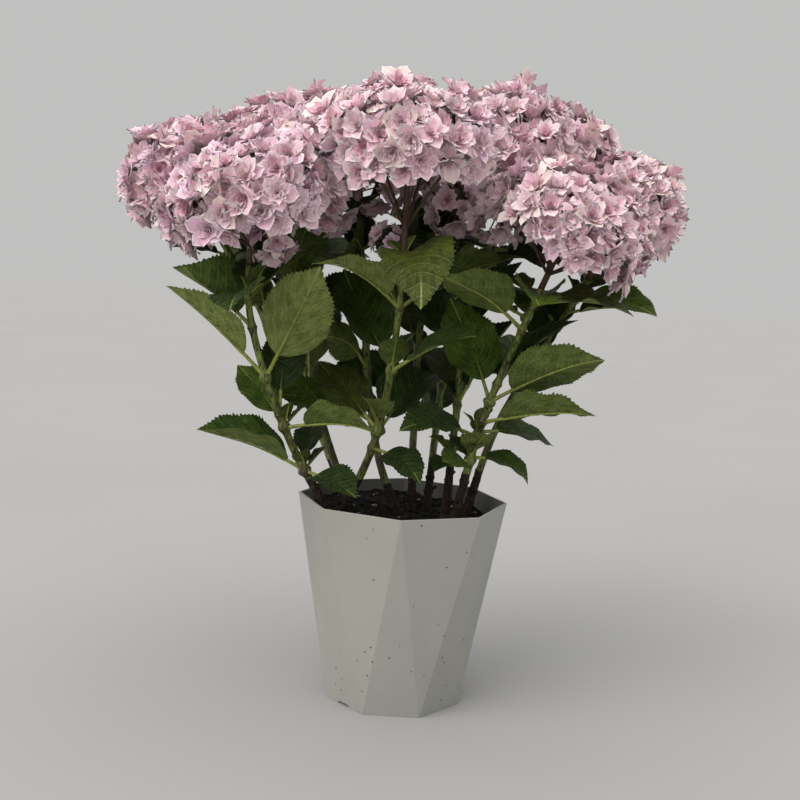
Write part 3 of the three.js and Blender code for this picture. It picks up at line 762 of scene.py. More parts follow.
def green_stem():
    """Pale green bark with dark lengthwise dashes, browner towards the foot."""
    g = Graph("green_stem", roughness=0.5)
    spot = g.place()
    streaks = g.noise(g.stretched(spot, 1, 1, 0.12), 420.0, detail=4)
    colour = g.mix(g.span(streaks, 0.35, 0.65), srgb(76, 90, 30), srgb(126, 138, 56))
    blotch = g.noise(g.stretched(spot, 1, 1, 0.5), 75.0, detail=5)
    low = g.span(g.parts(spot)[2], 0.40, 0.22)
    colour = g.mix(g.times(low, g.span(blotch, 0.4, 0.62)), colour, srgb(62, 46, 28))
    dashes = g.cells(g.stretched(spot, 1, 1, 0.33), 330.0)
    broken = g.noise(g.stretched(spot, 1, 1, 0.3), 150.0)
    mark = g.times(g.span(dashes, 0.42, 0.26), g.span(broken, 0.38, 0.5))
    colour = g.paint(colour, mark, 0.9, srgb(30, 26, 16))
    relief = g.math("ADD", g.times(mark, 0.8), g.times(streaks, 0.5))
    return g.finish(colour, g.span(streaks, 0.3, 0.7, 0.6, 0.42), relief, depth=0.0005)


def plain_stalk(name, pale, dark):
    """A thin stalk with fine lengthwise streaks."""
    g = Graph(name, roughness=0.5)
    streaks = g.noise(g.stretched(g.place(), 1, 1, 0.4), 350.0, detail=3)
    return g.finish(g.mix(g.span(streaks, 0.3, 0.7), dark, pale), None, streaks, depth=0.0003)


def blade_face(name, body, shade, vein, roughness, gloss, vein_paint, relief_depth):
    """One face of a leaf. The Veins map holds the side veins' count and the distance from the midrib."""
    g = Graph(name, roughness=roughness, specular_ior_level=gloss)
    count, distance, _ = g.map("Veins")
    plain = g.add("CombineXYZ", {0: count, 1: g.times(distance, 9.0)})
    stray = g.times(g.math("SUBTRACT", g.noise(plain, 0.7, detail=1), 0.5), 0.5)
    strayed = g.math("ADD", g.math("ADD", count, 0.5), stray)
    nearest = g.math("ABSOLUTE", g.math("SUBTRACT", g.math("FRACT", strayed), 0.5))
    spread = g.add("CombineXYZ", {0: g.times(count, 1.6), 1: g.times(distance, 24.0)})
    net = g.cells(spread, 2.0, feature="DISTANCE_TO_EDGE")
    cloud = g.noise(spread, 0.5, detail=5)
    grit = g.noise(spread, 3.6, detail=2)
    groove_and_shade = g.span(nearest, 0.32, 0.0)
    colour = g.mix(g.span(cloud, 0.36, 0.66), shade, body)
    # Painted shade: darker in the grooves along the side veins and along the fine net, where the bump sinks.
    colour = g.paint(colour, groove_and_shade, 0.45, shade)
    colour = g.paint(colour, g.span(net, 0.09, 0.0), 0.3, shade)
    colour = g.paint(colour, g.span(grit, 0.5, 0.75), 0.25, vein)
    colour = g.paint(colour, g.span(nearest, 0.05, 0.015), vein_paint, vein)
    colour = g.paint(colour, g.span(distance, 0.012, 0.005), 0.85, vein)
    hills = g.math("ADD", g.times(g.span(net, 0.0, 0.3), 0.7), g.times(grit, 0.35))
    relief = g.math("SUBTRACT", hills, g.times(groove_and_shade, 0.5))
    rough = g.span(cloud, 0.3, 0.7, roughness + 0.08, roughness - 0.06)
    return g.finish(colour, rough, relief, depth=relief_depth)


def petal(name, body, throat, rim, tip):
    """A sepal, paler at its edge, deeper at its base. The Sepal map has its width, then its length."""
    g = Graph(name, roughness=0.6, specular_ior_level=0.25, sheen_weight=0.5, sheen_roughness=0.45)
    side, length, vector = g.map("Sepal")
    edge = g.math("ABSOLUTE", g.math("SUBTRACT", g.times(side, 2.0), 1.0))
    strands = g.noise(g.stretched(vector, 26, 2.2, 1), 1.0, detail=2)
    bloom = g.noise(g.stretched(vector, 2.5, 2.0, 1), 1.0, detail=2)
    colour = g.mix(g.span(bloom, 0.35, 0.65, 0, 0.35), body, throat)
    colour = g.mix(g.span(length, 0.36, 0.0, 0, 0.8), colour, throat)
    colour = g.mix(g.span(strands, 0.5, 0.7, 0, 0.5), colour, throat)
    colour = g.mix(g.span(length, 0.62, 1.0, 0, 0.75), colour, tip)
    colour = g.mix(g.span(edge, 0.62, 0.94, 0, 0.9), colour, rim)
    return g.finish(colour, None, strands, depth=0.0005)


def leaf_looks():
    """Each look: its body, shaded parts and veins, then roughness, gloss, paint of the veins and relief."""
    upper, under = (0.5, 0.22, 0.42, 0.0008), (0.72, 0.12, 0.4, 0.0012)
    looks = {
        "deep": ((43, 62, 12), (24, 41, 9), (114, 128, 64), upper),
        "green": ((59, 84, 14), (34, 55, 10), (126, 140, 72), upper),
        "fresh": ((80, 103, 20), (49, 72, 12), (142, 154, 80), upper),
        "olive": ((75, 84, 18), (45, 56, 11), (132, 136, 72), upper),
        "under": ((118, 132, 68), (85, 100, 45), (160, 171, 108), under),
        "under_pale": ((142, 153, 86), (108, 121, 61), (178, 187, 124), under),
    }
    faces = [
        blade_face("leaf_" + name, *(srgb(*colour) for colour in colours), *face)
        for name, (*colours, face) in looks.items()
    ]
    return [*faces, plain_stalk("leaf_stalk", srgb(154, 160, 74), srgb(112, 124, 46))]


def petal_looks():
    """Each look: its body, its throat, its rim and its tip."""
    looks = {
        "pink": ((249, 208, 220), (232, 172, 191), (255, 243, 247), (254, 230, 237)),
        "lilac": ((245, 203, 222), (226, 169, 194), (253, 240, 246), (250, 224, 235)),
        "blush": ((250, 214, 222), (236, 183, 197), (255, 244, 247), (253, 233, 238)),
        "cream": ((248, 224, 220), (236, 192, 198), (252, 243, 234), (246, 232, 216)),
        "inner_pink": ((244, 196, 211), (227, 165, 186), (252, 228, 236), (249, 214, 225)),
        "inner_rose": ((241, 188, 203), (221, 152, 173), (251, 222, 230), (247, 206, 217)),
        "bud": ((244, 218, 210), (226, 180, 184), (250, 234, 224), (240, 224, 204)),
    }
    return [petal("petal_" + name, *(srgb(*colour) for colour in colours)) for name, colours in looks.items()]


# Pot and soil

FOLDS = {"flat": math.radians(0.6), "sharp": math.radians(2), "round": 0.75 * MM, "segments": 3}
SOIL_RINGS = 46
SOIL_SPOKES = 112
SOIL_SLOPE = np.array([-0.045, 0.035])
# The waves of the soil's top: height, scale and seed
SOIL_WAVES = ((2.2, 46, 5), (1.3, 13, 6), (0.7, 5, 7))
BED = {"gap": 0.25, "middle": 0.001, "depth": 24, "foot_gap": 0.5}
CRUMBS = {
    "count": 1500, "seed": 91, "size": (0.7, 3.4), "sunk": 0.3, "room": 3, "squash": 0.35, "flat": (0.6, 1.1),
    "bumps": 0.3, "pale": 0.05, "bark": 0.14,
}
# The rings of a lump: height and width
LUMP = ((0.0, 1e-3), (0.35, 0.8), (0.72, 1.0), (1.0, 0.62), (1.12, 1e-3))
LUMP_SIDES = 6
STICKS = {
    "count": 150, "length": (6, 20), "radius": (0.3, 0.8), "taper": 0.6, "mesh": (5, 4), "room": 14,
    "lift": 0.8, "bark": 0.6,
}
DARK, PALE, BARK = range(3)


def make_pot():
    """The pot's own solid with its folds and rim softened, as moulded plastic has them."""
    shape = bmesh.new()
    shape.from_mesh(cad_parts["pot"].data)
    bmesh.ops.remove_doubles(shape, verts=shape.verts, dist=1e-6)
    bmesh.ops.dissolve_limit(shape, angle_limit=FOLDS["flat"], verts=shape.verts, edges=shape.edges)
    sharp = [e for e in shape.edges if len(e.link_faces) == 2 and e.calc_face_angle() > FOLDS["sharp"]]
    bmesh.ops.bevel(
        shape, geom=sharp, offset=FOLDS["round"], segments=FOLDS["segments"], profile=0.5, affect="EDGES",
        clamp_overlap=True,
    )
    mesh = bpy.data.meshes.new("pot_shell")
    shape.to_mesh(mesh)
    shape.free()
    mesh.shade_smooth()
    mesh.materials.append(pot_plastic())
    pot = place("pot_shell", mesh, "pot", ["pot"])
    even = pot.modifiers.new("even_shading", "WEIGHTED_NORMAL")
    even.keep_sharp = True


def inner_reach(angles, z):
    """How far the pot's inner wall is from its axis at a height, in the given directions."""
    part = z / POT_HEIGHT
    corner = np.arange(2 * CORNERS)
    odd = corner % 2
    foot = (FOOT_RADIUS - WALL) * (1 - part) * compass((corner + 1 - odd) * math.pi / CORNERS)
    rim = (RIM_RADIUS - WALL) * part * compass((corner + odd) * math.pi / CORNERS)
    corners = foot + rim
    side = np.roll(corners, -1, axis=0) - corners
    normal = np.stack([side[:, 1], -side[:, 0]], axis=1)
    offset = (normal * corners).sum(axis=1)
    facing = compass(angles) @ normal.T
    return np.min(np.where(facing > 1e-6, offset / np.maximum(facing, 1e-6), np.inf), axis=-1)


def soil_height(points):
    """The height of the soil's top, which lies higher at the back and left than at the right."""
    flat = points * np.array([1, 1, 0])
    bumps = sum(height * waves(flat, scale, seed) for height, scale, seed in SOIL_WAVES)
    return SOIL_TOP + points[..., :2] @ SOIL_SLOPE + bumps


def make_soil():
    angles = round_turn(SOIL_SPOKES)
    top = np.linspace(BED["middle"], 1, SOIL_RINGS)[:, None] * (inner_reach(angles, SOIL_TOP) - BED["gap"])
    foot = inner_reach(angles, SOIL_TOP - BED["depth"]) - BED["foot_gap"]
    points = np.zeros((SOIL_RINGS + 1, SOIL_SPOKES, 3))
    points[..., :2] = np.concatenate([top, foot[None]])[..., None] * compass(angles)
    points[..., 2] = soil_height(points)
    points[-1, :, 2] = SOIL_TOP - BED["depth"]
    bed = Sheets()
    bed.add(points, 0, ring=True)
    bed.piece("soil_bed", [soil_mix()], "soil", ["soil"])


def soil_spot(random, room):
    """A place above the soil, with room to the pot's wall."""
    angle = random.turn()
    return math.sqrt(random.draw()) * (inner_reach(angle, SOIL_TOP) - room) * level(angle)


def make_crumbs():
    """Loose lumps, pale grit and bits of fibre that lie on the soil."""
    random = Stream(CRUMBS["seed"])
    pile = Sheets()
    sides = compass(round_turn(LUMP_SIDES))
    for _ in range(CRUMBS["count"]):
        spot = soil_spot(random, CRUMBS["room"])
        size = random.within(CRUMBS["size"], 3)
        spot[2] = soil_height(spot) - CRUMBS["sunk"] * size
        stretch = size * np.array([*(1 + random.spreads(CRUMBS["squash"], 2)), random.within(CRUMBS["flat"])])
        lump = np.empty((len(LUMP), LUMP_SIDES, 3))
        for ring, (height, width) in zip(lump, LUMP):
            ring[:, :2] = width * (1 + CRUMBS["bumps"] * random.spreads(1, LUMP_SIDES))[:, None] * sides
            ring[:, 2] = height
        kind = random.draw()
        slot = PALE if kind < CRUMBS["pale"] else BARK if kind < CRUMBS["pale"] + CRUMBS["bark"] else DARK
        pile.add(lump * stretch + spot, slot, ring=True)
    for _ in range(STICKS["count"]):
        start = soil_spot(random, STICKS["room"])
        heading = random.turn()
        end = start + random.within(STICKS["length"], 2) * level(heading)
        bound = inner_reach(math.atan2(end[1], end[0]), SOIL_TOP) - CRUMBS["room"]
        end = end * min(1, bound / max(np.hypot(end[0], end[1]), 1))
        start[2] = soil_height(start) + STICKS["lift"]
        end[2] = soil_height(end) + STICKS["lift"] + random.draw()
        thick = random.within(STICKS["radius"])
        slot = BARK if random.draw() < STICKS["bark"] else DARK
        pile.add_rod(start, end, (thick, STICKS["taper"] * thick), *STICKS["mesh"], slot)
    colours = {"dark": (25, 21, 19), "pale": (176, 168, 150), "bark": (66, 46, 32)}
    looks = [crumb("crumb_" + name, srgb(*colour)) for name, colour in colours.items()]
    pile.piece("soil_crumbs", looks, "soil", ["soil"])


# Stems

CANE_RINGS = 70
CANE_SIDES = 20
BARK_OVERLAP = 0.004
STEM_RINGS = 120
STEM_SIDES = 14
NODE_SWELL = 0.34
NODE_WIDTH = 0.012
KNOBS = {"count": 2, "places": (0.04, 0.15), "width": 0.006, "swell": 0.22}
# Relief: depth, scale, how much it is drawn out lengthways and its stream of random numbers
BARK_RELIEF = ((0.1, 5.0, 0.14, "bark"), (0.06, 3.2, 0.4, "fine_bark"))
SKIN_RELIEF = ((0.045, 7.0, 0.2, "skin"),)
STUBS = {"count": 2, "places": (0.05, 0.15), "reach": (1.5, 3.5), "rise": 0.7, "rod": ((2.4, 1.5), 8, 4)}
STUB_END = 0.01
# A leaf scar's rings: their places round the pair's own, and their width
SCAR_HALF = 0.004
SCAR_RINGS = np.array([[-1, 0.9], [-0.4, 1.06], [0.4, 1.06], [1, 0.9]])


def cane_radius(part):
    flare = (CANE_FLARE - CANE_RADIUS) * np.maximum(0, 1 - part / FLARE_SHARE) ** 2
    return CANE_RADIUS + flare - (CANE_RADIUS - SHOOT_RADIUS) * part


def swollen(radii, places, spot, width, swell):
    """The radii with a knob at one spot."""
    return radii * (1 + swell * np.exp(-(((places - spot) / width) ** 2)))


def make_cane(stem, look):
    """The woody foot of a stem, with lengthwise bark relief, knobs at its old leaf scars and cut stubs."""
    random = Stream(stem.salted("cane"))
    places = np.linspace(0, BARK_END + BARK_OVERLAP, CANE_RINGS)
    radii = cane_radius(np.linspace(0, 1, CANE_RINGS))
    for _ in range(KNOBS["count"]):
        radii = swollen(radii, places, random.within(KNOBS["places"]), KNOBS["width"], KNOBS["swell"])
    sheets = Sheets()
    stem.add_tube(sheets, places, radii, CANE_SIDES, relief=BARK_RELIEF)
    for _ in range(STUBS["count"]):
        root = stem.curve.at(random.within(STUBS["places"]))
        heading = level(random.turn(), STUBS["rise"])
        end = root + (CANE_RADIUS + random.within(STUBS["reach"])) * heading
        stub = straight_tube(root, end, *STUBS["rod"])
        cap = end + STUB_END * (stub[-1:] - end)
        sheets.add(np.concatenate([stub, cap]), 0, ring=True)
    sheets.piece("bark_" + stem.name, [look], "bark", ["cane_" + stem.name])


def make_stem(stem, looks):
    """The green part of a stem up to its flower head, thicker where its leaves sit."""
    places = np.linspace(BARK_END, SHOOT_END, STEM_RINGS)
    taper = (SHOOT_RADIUS, PEDUNCLE_RADIUS)
    radii = between(taper, (places - BARK_END) / (SHOOT_END - BARK_END))
    for pair in stem.pairs:
        radii = swollen(radii, places, pair[0], NODE_WIDTH, NODE_SWELL)
    sheets = Sheets()
    stem.add_tube(sheets, places, radii, STEM_SIDES, relief=SKIN_RELIEF)
    for spot in sorted({pair[0] for pair in stem.pairs}):
        places = spot + SCAR_HALF * SCAR_RINGS[:, 0]
        radii = between(taper, spot) * (1 + NODE_SWELL) * SCAR_RINGS[:, 1]
        stem.add_tube(sheets, places, radii, STEM_SIDES, slot=1)
    sheets.piece("stem_" + stem.name, looks, "foliage", ["shoot_" + stem.name])


# Leaves

TEETH = 28
SMALL_TEETH = 16
SMALL_LEAF = 60
TOOTH = {"out": 0.075, "forward": 0.014, "in": (0.01, 0.09), "away": (1, 0.92), "uneven": 0.45}
CUP = (0.05, 0.55)
RIPPLE = {"height": (0.012, 0.036), "waves": 2.7, "shift": 1.7, "growth": 2.2}
TIP_CURL = {"from": 0.55, "most": 0.4}
SWAY = 0.07
NARROWEST = 0.86
DRAWN_TIP = {"from": 0.72, "to": 0.96, "share": 0.3}
COLUMNS = np.array([-1, -0.86, -0.62, -0.38, -0.18, -0.04, 0.04, 0.18, 0.38, 0.62, 0.86, 1])
VEINS_PER_LENGTH = 8
VEIN_LEAN = (0.6, 1.5)
PUCKER = {
    "height": 1.35, "rounding": 0.8, "midrib": (0, 0.05), "margin": 0.6, "outward": 4, "base": (0, 0.12),
    "tip": (1, 0.85),
}
BLADE = {"thickness": 0.45, "edge": 6}
UPPER_TONES = 4
UPPER_BIAS = 1.6
UNDER_TONES = 2
STALK_SLOT = UPPER_TONES + UNDER_TONES
TONES_ACROSS = 4
TONES_UP = 2
CELL_MARGIN = 0.03
STALK = {"rings": 8, "sides": 8, "radius": 1.8, "clasp": 1.1, "thin": (0.75, 1.0)}
MIDRIB = {"rings": 16, "places": (0.02, 0.93), "radius": 1.2, "taper": 0.75, "least": 0.12, "sunk": 0.85}
AXIL = {
    "share": 0.85, "length": (18, 58), "uneven": np.array([0.85, 1.15]), "petiole": 5, "above": 3,
    "lift": (45, 75), "droop": (10, 40), "turn": math.radians(50), "spread": 20, "roll": 30, "room": 5,
}
COLLAR = {
    "places": (0.74, 0.8, 0.87, 0.69), "length": (60, 86), "petiole": 14, "lift": (5, 35), "droop": (25, 60),
    "spread": 90, "roll": 25, "room": 6, "turns": 12,
}
BARE_COLLARS = ("left_front", "far_left", "centre_front")


def vein_count(places, distance):
    """Which side vein a point is on, in whole numbers, and between which two in fractions."""
    return (places - VEIN_LEAN[0] * distance - VEIN_LEAN[1] * distance**2) * VEINS_PER_LENGTH


def blade_grid(leaf, random):
    """A toothed blade: its upper and lower face, their two maps' coordinates and its midrib."""
    cup = random.within(CUP, 2)
    ripple = leaf.length * random.within(RIPPLE["height"])
    phase = random.turn()
    curl = leaf.length * random.spread(TIP_CURL["most"])
    sway = leaf.length * random.spread(SWAY)
    narrow = random.within((NARROWEST, 1))
    rows = 2 * (TEETH if leaf.length > SMALL_LEAF else SMALL_TEETH) + 1
    places = np.linspace(0, 1, rows)
    tooth = np.arange(rows) % 2 * smooth_step(*TOOTH["in"], places) * smooth_step(*TOOTH["away"], places)
    tooth = (tooth * (1 + random.spreads(TOOTH["uneven"], rows)))[:, None]
    drawn = 1 - DRAWN_TIP["share"] * smooth_step(DRAWN_TIP["from"], DRAWN_TIP["to"], places)
    half = (leaf.length * blade_half(places) * narrow * drawn)[:, None]
    outer = (np.abs(COLUMNS) == 1).astype(float)
    along = np.clip(places[:, None] + outer * tooth * TOOTH["forward"], 0, 1)
    reach = half * COLUMNS * (1 + outer * tooth * TOOTH["out"])
    points, _, across, up = (v.reshape(rows, len(COLUMNS), 3) for v in leaf.spine(along.ravel()))
    bent = np.maximum(0, along - TIP_CURL["from"]) ** 2
    points = points + (curl * bent)[..., None] * up + (sway * along**2)[..., None] * across
    distance = np.abs(reach) / leaf.length
    count = vein_count(along, distance)
    hills = np.abs(np.sin(math.pi * count)) ** PUCKER["rounding"]
    hills = hills * (1 - PUCKER["margin"] * np.abs(COLUMNS) ** PUCKER["outward"])
    hills = hills * smooth_step(*PUCKER["midrib"], distance)
    hills = hills * smooth_step(*PUCKER["base"], along) * smooth_step(*PUCKER["tip"], along)
    relief = PUCKER["height"] * leaf.length / LEAF_LENGTH * hills
    start = phase + np.where(COLUMNS < 0, 0, RIPPLE["shift"])
    waved = ripple * np.sin(2 * math.pi * RIPPLE["waves"] * along + start)
    waved = waved * np.abs(COLUMNS) ** RIPPLE["growth"]
    rise = np.abs(reach) * leaf.fold + cup * reach**2 / max(half.max(), 1) + waved * half / half.max()
    middle = points + reach[..., None] * across + rise[..., None] * up
    thickness = 0.5 * BLADE["thickness"] * (1 - np.abs(COLUMNS) ** BLADE["edge"])
    upper = middle + (relief + thickness)[..., None] * up
    lower = middle + (relief - thickness)[..., None] * up
    veins = np.stack([count, distance], axis=-1)
    flat = np.stack([(COLUMNS + 1) / 2 + 0 * along, along], axis=-1)
    return upper, lower, veins, flat, points[:, len(COLUMNS) // 2]


def tone_cell(flat, tone):
    """The part of the shared baking map that belongs to a tone."""
    cell = np.array([tone % TONES_ACROSS, tone // TONES_ACROSS])
    return (flat * (1 - 2 * CELL_MARGIN) + CELL_MARGIN + cell) / np.array([TONES_ACROSS, TONES_UP])


def add_leaf(sheets, leaf, random):
    """One leaf with its petiole and midrib. Slots: the upper tones, the under tones, then the stalk."""
    upper, lower, veins, flat, middle = blade_grid(leaf, random)
    upper_tone = int(UPPER_TONES * random.draw() ** UPPER_BIAS)
    under_tone = UPPER_TONES + int(UNDER_TONES * random.draw())
    sheets.add(upper, upper_tone, veins, tone_cell(flat, upper_tone))
    # The under face has its rows and columns changed over, so that it looks down
    lower, veins, cell = (grid.swapaxes(0, 1) for grid in (lower, veins, tone_cell(flat, under_tone)))
    sheets.add(lower, under_tone, veins, cell)
    part = np.linspace(0, 1, STALK["rings"])
    petiole = leaf.root + part[:, None] * (leaf.base() - leaf.root)
    places = np.linspace(*MIDRIB["places"], MIDRIB["rings"])
    _, rib_along, _, up = leaf.spine(places)
    thick = between(STALK["thin"], leaf.length / LEAF_LENGTH)
    rib_radii = MIDRIB["radius"] * (1 - places) ** MIDRIB["taper"] + MIDRIB["least"]
    whole = np.linspace(0, 1, len(middle))
    rib = np.stack([np.interp(places, whole, middle[:, axis]) for axis in range(3)], axis=-1)
    rib = rib - (MIDRIB["sunk"] * rib_radii * thick)[:, None] * up
    centres = np.concatenate([petiole, rib])
    alongs = np.concatenate([np.repeat(leaf.petiole_direction()[None], len(part), axis=0), rib_along])
    radii = np.concatenate([STALK["radius"] + STALK["clasp"] * (1 - part) ** 3, rib_radii]) * thick
    stalk = closed_tube(centres, alongs, radii, STALK["sides"])
    flat = np.full((*stalk.shape[:2], 2), 0.5)
    sheets.add(stalk, STALK_SLOT, flat, tone_cell(flat, STALK_SLOT), ring=True)


def make_leaves(stem, looks):
    sheets = Sheets()
    random = Stream(stem.salted("leaves"))
    for leaf in stem.leaves + stem.leaflets + stem.collar:
        add_leaf(sheets, leaf, random)
    sheets.piece("leaves_" + stem.name, looks, "foliage", ["shoot_" + stem.name], ("Veins", "OFBake"))


def young_leaf(kind, root, azimuth, lengths, random):
    """A leaf as chance has it, within the limits of its kind."""
    return Leaf(
        root=root,
        azimuth=azimuth + math.radians(random.spread(kind["spread"])),
        lift=math.radians(random.within(kind["lift"])),
        droop=math.radians(random.within(kind["droop"])),
        roll=math.radians(random.spread(kind["roll"])),
        length=random.within(lengths),
        petiole=kind["petiole"],
    )


def axil_leaflets(stem, taken):
    """Young leaves in pairs from the axils of some of the grown leaves."""
    random = Stream(stem.salted("axils"))
    leaflets = []
    for leaf in stem.leaves:
        grows = random.draw() < AXIL["share"]
        root, lengths = leaf.root + AXIL["above"] * UP, random.within(AXIL["length"], 2) * AXIL["uneven"]
        for turn in (-AXIL["turn"], AXIL["turn"]):
            young = young_leaf(AXIL, root, leaf.azimuth + turn, lengths, random)
            samples = young.samples()
            above = samples[:, 2].min() > SOIL_TOP + SOIL_ROOM
            if grows and above and clear_of(samples, np.concatenate(taken), AXIL["room"]):
                leaflets.append(young)
    return leaflets


def collar_leaves(stem, taken, stems):
    """Small leaves under a flower head, turned until they are clear of the others and of the flowers."""
    random = Stream(stem.salted("collar"))
    leaves = []
    others = [other.line for other in stems if other is not stem]
    for spot in COLLAR["places"]:
        for side in (0, math.pi):
            wish = young_leaf(COLLAR, stem.curve.at(spot), side, COLLAR["length"], random)
            for turn in round_turn(COLLAR["turns"]):
                leaf = replace(wish, azimuth=wish.azimuth + turn)
                samples = leaf.samples()
                free = all(other.head.distance(samples, 0).min() >= 1 for other in stems)
                if free and clear_of(samples, np.concatenate(taken + others), COLLAR["room"]):
                    taken.append(samples)
                    leaves.append(leaf)
                    break
    return leaves


# Flowers

FLORET_RADIUS = 18
# Each whorl: sepals, length, half width, rise at the base and at the tip in degrees, cup, turn, rows, columns
WHORLS = (
    (5, 1.0, 0.47, 26, 6, 0.24, 0.0, 5, 4),
    (5, 0.88, 0.4, 33, 14, 0.32, 0.5, 4, 4),
    (6, 0.74, 0.28, 40, 26, 0.42, 0.14, 4, 3),
    (6, 0.58, 0.21, 50, 42, 0.48, 0.62, 4, 3),
    (5, 0.4, 0.14, 66, 76, 0.5, 0.3, 4, 3),
)
OUTER_WHORLS = 2
INNER_WHORLS = WHORLS[2:4]
# How much the sepals of a whorl differ, and how far a floret is open, in degrees
SEPAL_SPREAD = {"angle": 0.12, "size": 0.16, "base": 10, "tip": 22, "width": 0.15, "cup": 0.7}
LEAN = (-8, 24)
STAR = {"share": 0.07, "longer": 1.16}
RAGGED = {"from": 0.7, "narrower": 0.26}
SEPAL = {
    "scale": 2.0, "base": 0.66, "tip": 0.7, "foot": 0.07, "inset": 0.05, "jag": 0.15, "jags": (21, 4, 3),
    "fold": (0.35, 1), "rounding": 1.7, "ripple": (0.06, 0.12), "ripples": (5.5, 3.4, 1),
}
PINK, LILAC, BLUSH, CREAM, INNER_PINK, INNER_ROSE, BUD = range(7)
# Shares of the florets' colours on the far left, and how much they gain by the far right
CREAM_SHARE = (0.03, 0.17)
LILAC_ABOVE = (0.65, 0.95)
BLUSH_SHARE = (0.3, 0.65)
MIDDLE_AS_OUTER = 0.7
BUD_SHARE = 0.3
CROWN_HALF_WIDTH = 240
FLORET_SINK = 9.0
INNER_FLORETS = {"area": 1500, "depth": 19, "size": 0.95}
UNEVEN = {"lift": 5.5, "tilt": 0.38}
SEAM = {"lift": 17, "reach": 34}
BRANCH = {
    "open": 1.5, "lean": np.array([0, -0.1, -0.2]), "sizes": (0.94, 1, 1.06), "stem": ((1.8, 1.4), 8, 6),
    "stalk": ((0.9, 0.7), 5, 3),
}


def sepal_width(t):
    """A sepal's width along its length, as a share of its widest: a narrow foot, a broad middle, a point."""
    return SEPAL["scale"] * t ** SEPAL["base"] * np.clip(1 - t, 0, 1) ** SEPAL["tip"]


def outer_tone(random, warmth):
    """The colour of a floret. Heads on the left have more lilac ones, and heads on the right more cream."""
    chance = random.draw()
    if chance < between(CREAM_SHARE, warmth):
        return CREAM
    if chance > between(LILAC_ABOVE, warmth):
        return LILAC
    return BLUSH if random.draw() < between(BLUSH_SHARE, warmth) else PINK


def summed(slopes):
    """The heights at the ends of steps with these slopes, on a length of 1."""
    steps = (slopes[1:] + slopes[:-1]) / 2
    return np.concatenate([[[0]], np.cumsum(steps, axis=0)]) / len(steps)


def add_sepal(sheets, floret, angle, size, wide, rise, cup, ripple, columns, tone):
    """One cupped sepal. rise holds its slope in each row, ripple the depth and start of its waves."""
    across = side_of(floret.facing)
    up = np.cross(floret.facing, across)
    t = np.linspace(0, 1, len(rise))[:, None]
    v = np.linspace(-1, 1, columns)[None, :]
    edge = np.abs(v)
    profile = sepal_width(np.maximum(t, SEPAL["foot"]))
    jags, ripples = (np.sin(a * t + b * v + c * ripple[1]) for a, b, c in (SEPAL["jags"], SEPAL["ripples"]))
    profile = profile * (1 + SEPAL["jag"] * edge * jags)
    fold = cup * wide * edge ** SEPAL["rounding"] * profile * between(SEPAL["fold"], t)
    fold = fold + ripple[0] * ripples * edge * t
    radial = SEPAL["inset"] + summed(np.cos(rise)) - fold * np.sin(rise)
    height = summed(np.sin(rise)) + fold * np.cos(rise)
    cosine, sine = compass(angle)
    heading, beside = cosine * across + sine * up, cosine * up - sine * across
    spots = radial[..., None] * heading + (wide * profile * v)[..., None] * beside
    spots = floret.centre + size * (spots + height[..., None] * floret.facing)
    flat = np.stack([(v + 1) / 2 + 0 * t, t + 0 * v], axis=-1)
    sheets.add(spots, tone, flat, tone_cell(flat, tone))


def add_floret(sheets, floret, random, warmth, whorls=WHORLS):
    """A double floret: whorls of pointed sepals, flatter outside, cupped and closing inside."""
    outer = outer_tone(random, warmth)
    star = random.draw() < STAR["share"]
    same = outer != CREAM and random.draw() < MIDDLE_AS_OUTER
    middle = outer if same else (PINK, BLUSH)[random.draw() < 0.5]
    inner = (middle, BLUSH, INNER_PINK, INNER_ROSE)[int(random.draw() * 4)]
    heart = BUD if random.draw() < BUD_SHARE else inner
    tones = (CREAM if star else outer, middle, inner, inner, heart)
    lean = random.within(LEAN)
    for whorl, (sepals, length, half, low, high, cup, turn, rows, columns) in enumerate(whorls):
        longer = STAR["longer"] if star and whorl == 0 else 1
        if warmth > RAGGED["from"] and whorl < OUTER_WHORLS:
            sepals, half = sepals + 1, half * (1 - RAGGED["narrower"])
        for k in range(sepals):
            angle = floret.spin + 2 * math.pi * (k + turn + random.spread(SEPAL_SPREAD["angle"])) / sepals
            uneven = 1 + random.spread(SEPAL_SPREAD["size"])
            size = FLORET_RADIUS * floret.size * length * longer * uneven
            start = low + lean + random.spread(SEPAL_SPREAD["base"])
            end = high + lean + random.spread(SEPAL_SPREAD["tip"])
            rise = np.linspace(math.radians(start), math.radians(end), rows)[:, None]
            wide = half * (1 + random.spread(SEPAL_SPREAD["width"])) / length
            ripple = (random.within(SEPAL["ripple"]), random.turn())
            curl = cup * (1 + random.spread(SEPAL_SPREAD["cup"]))
            add_sepal(sheets, floret, angle, size, wide, rise, curl, ripple, columns, tones[whorl])


def settled(floret, stem, random):
    """A floret at its own height and slant. Those by a parting are pressed up, so that heads close up."""
    outward = unit(floret.centre - CROWN_FOCUS)
    gaps = [(point - floret.centre) @ direction for point, direction in stem.planes]
    closeness = 1 - smooth_step(0, SEAM["reach"], min(gaps, default=SEAM["reach"]))
    pressed = SEAM["lift"] * closeness * max(0, floret.facing @ outward)
    facing = unit(floret.facing + UNEVEN["tilt"] * random.spreads(1, 3))
    lift = random.spread(UNEVEN["lift"]) - FLORET_SINK
    return replace(floret, centre=floret.centre + pressed * outward + lift * facing, facing=facing)


def branch_florets(tip, count, reach, size):
    """The florets of a small branch, spread over a ball that opens to the front and downwards."""
    florets = []
    for (turn, east, up, front), share in zip(spread_over(count, BRANCH["open"]), cycle(BRANCH["sizes"])):
        facing = unit(np.array([east, -front, up]) + BRANCH["lean"])
        florets.append(Floret(tip + reach * facing, facing, turn, size * share))
    return florets


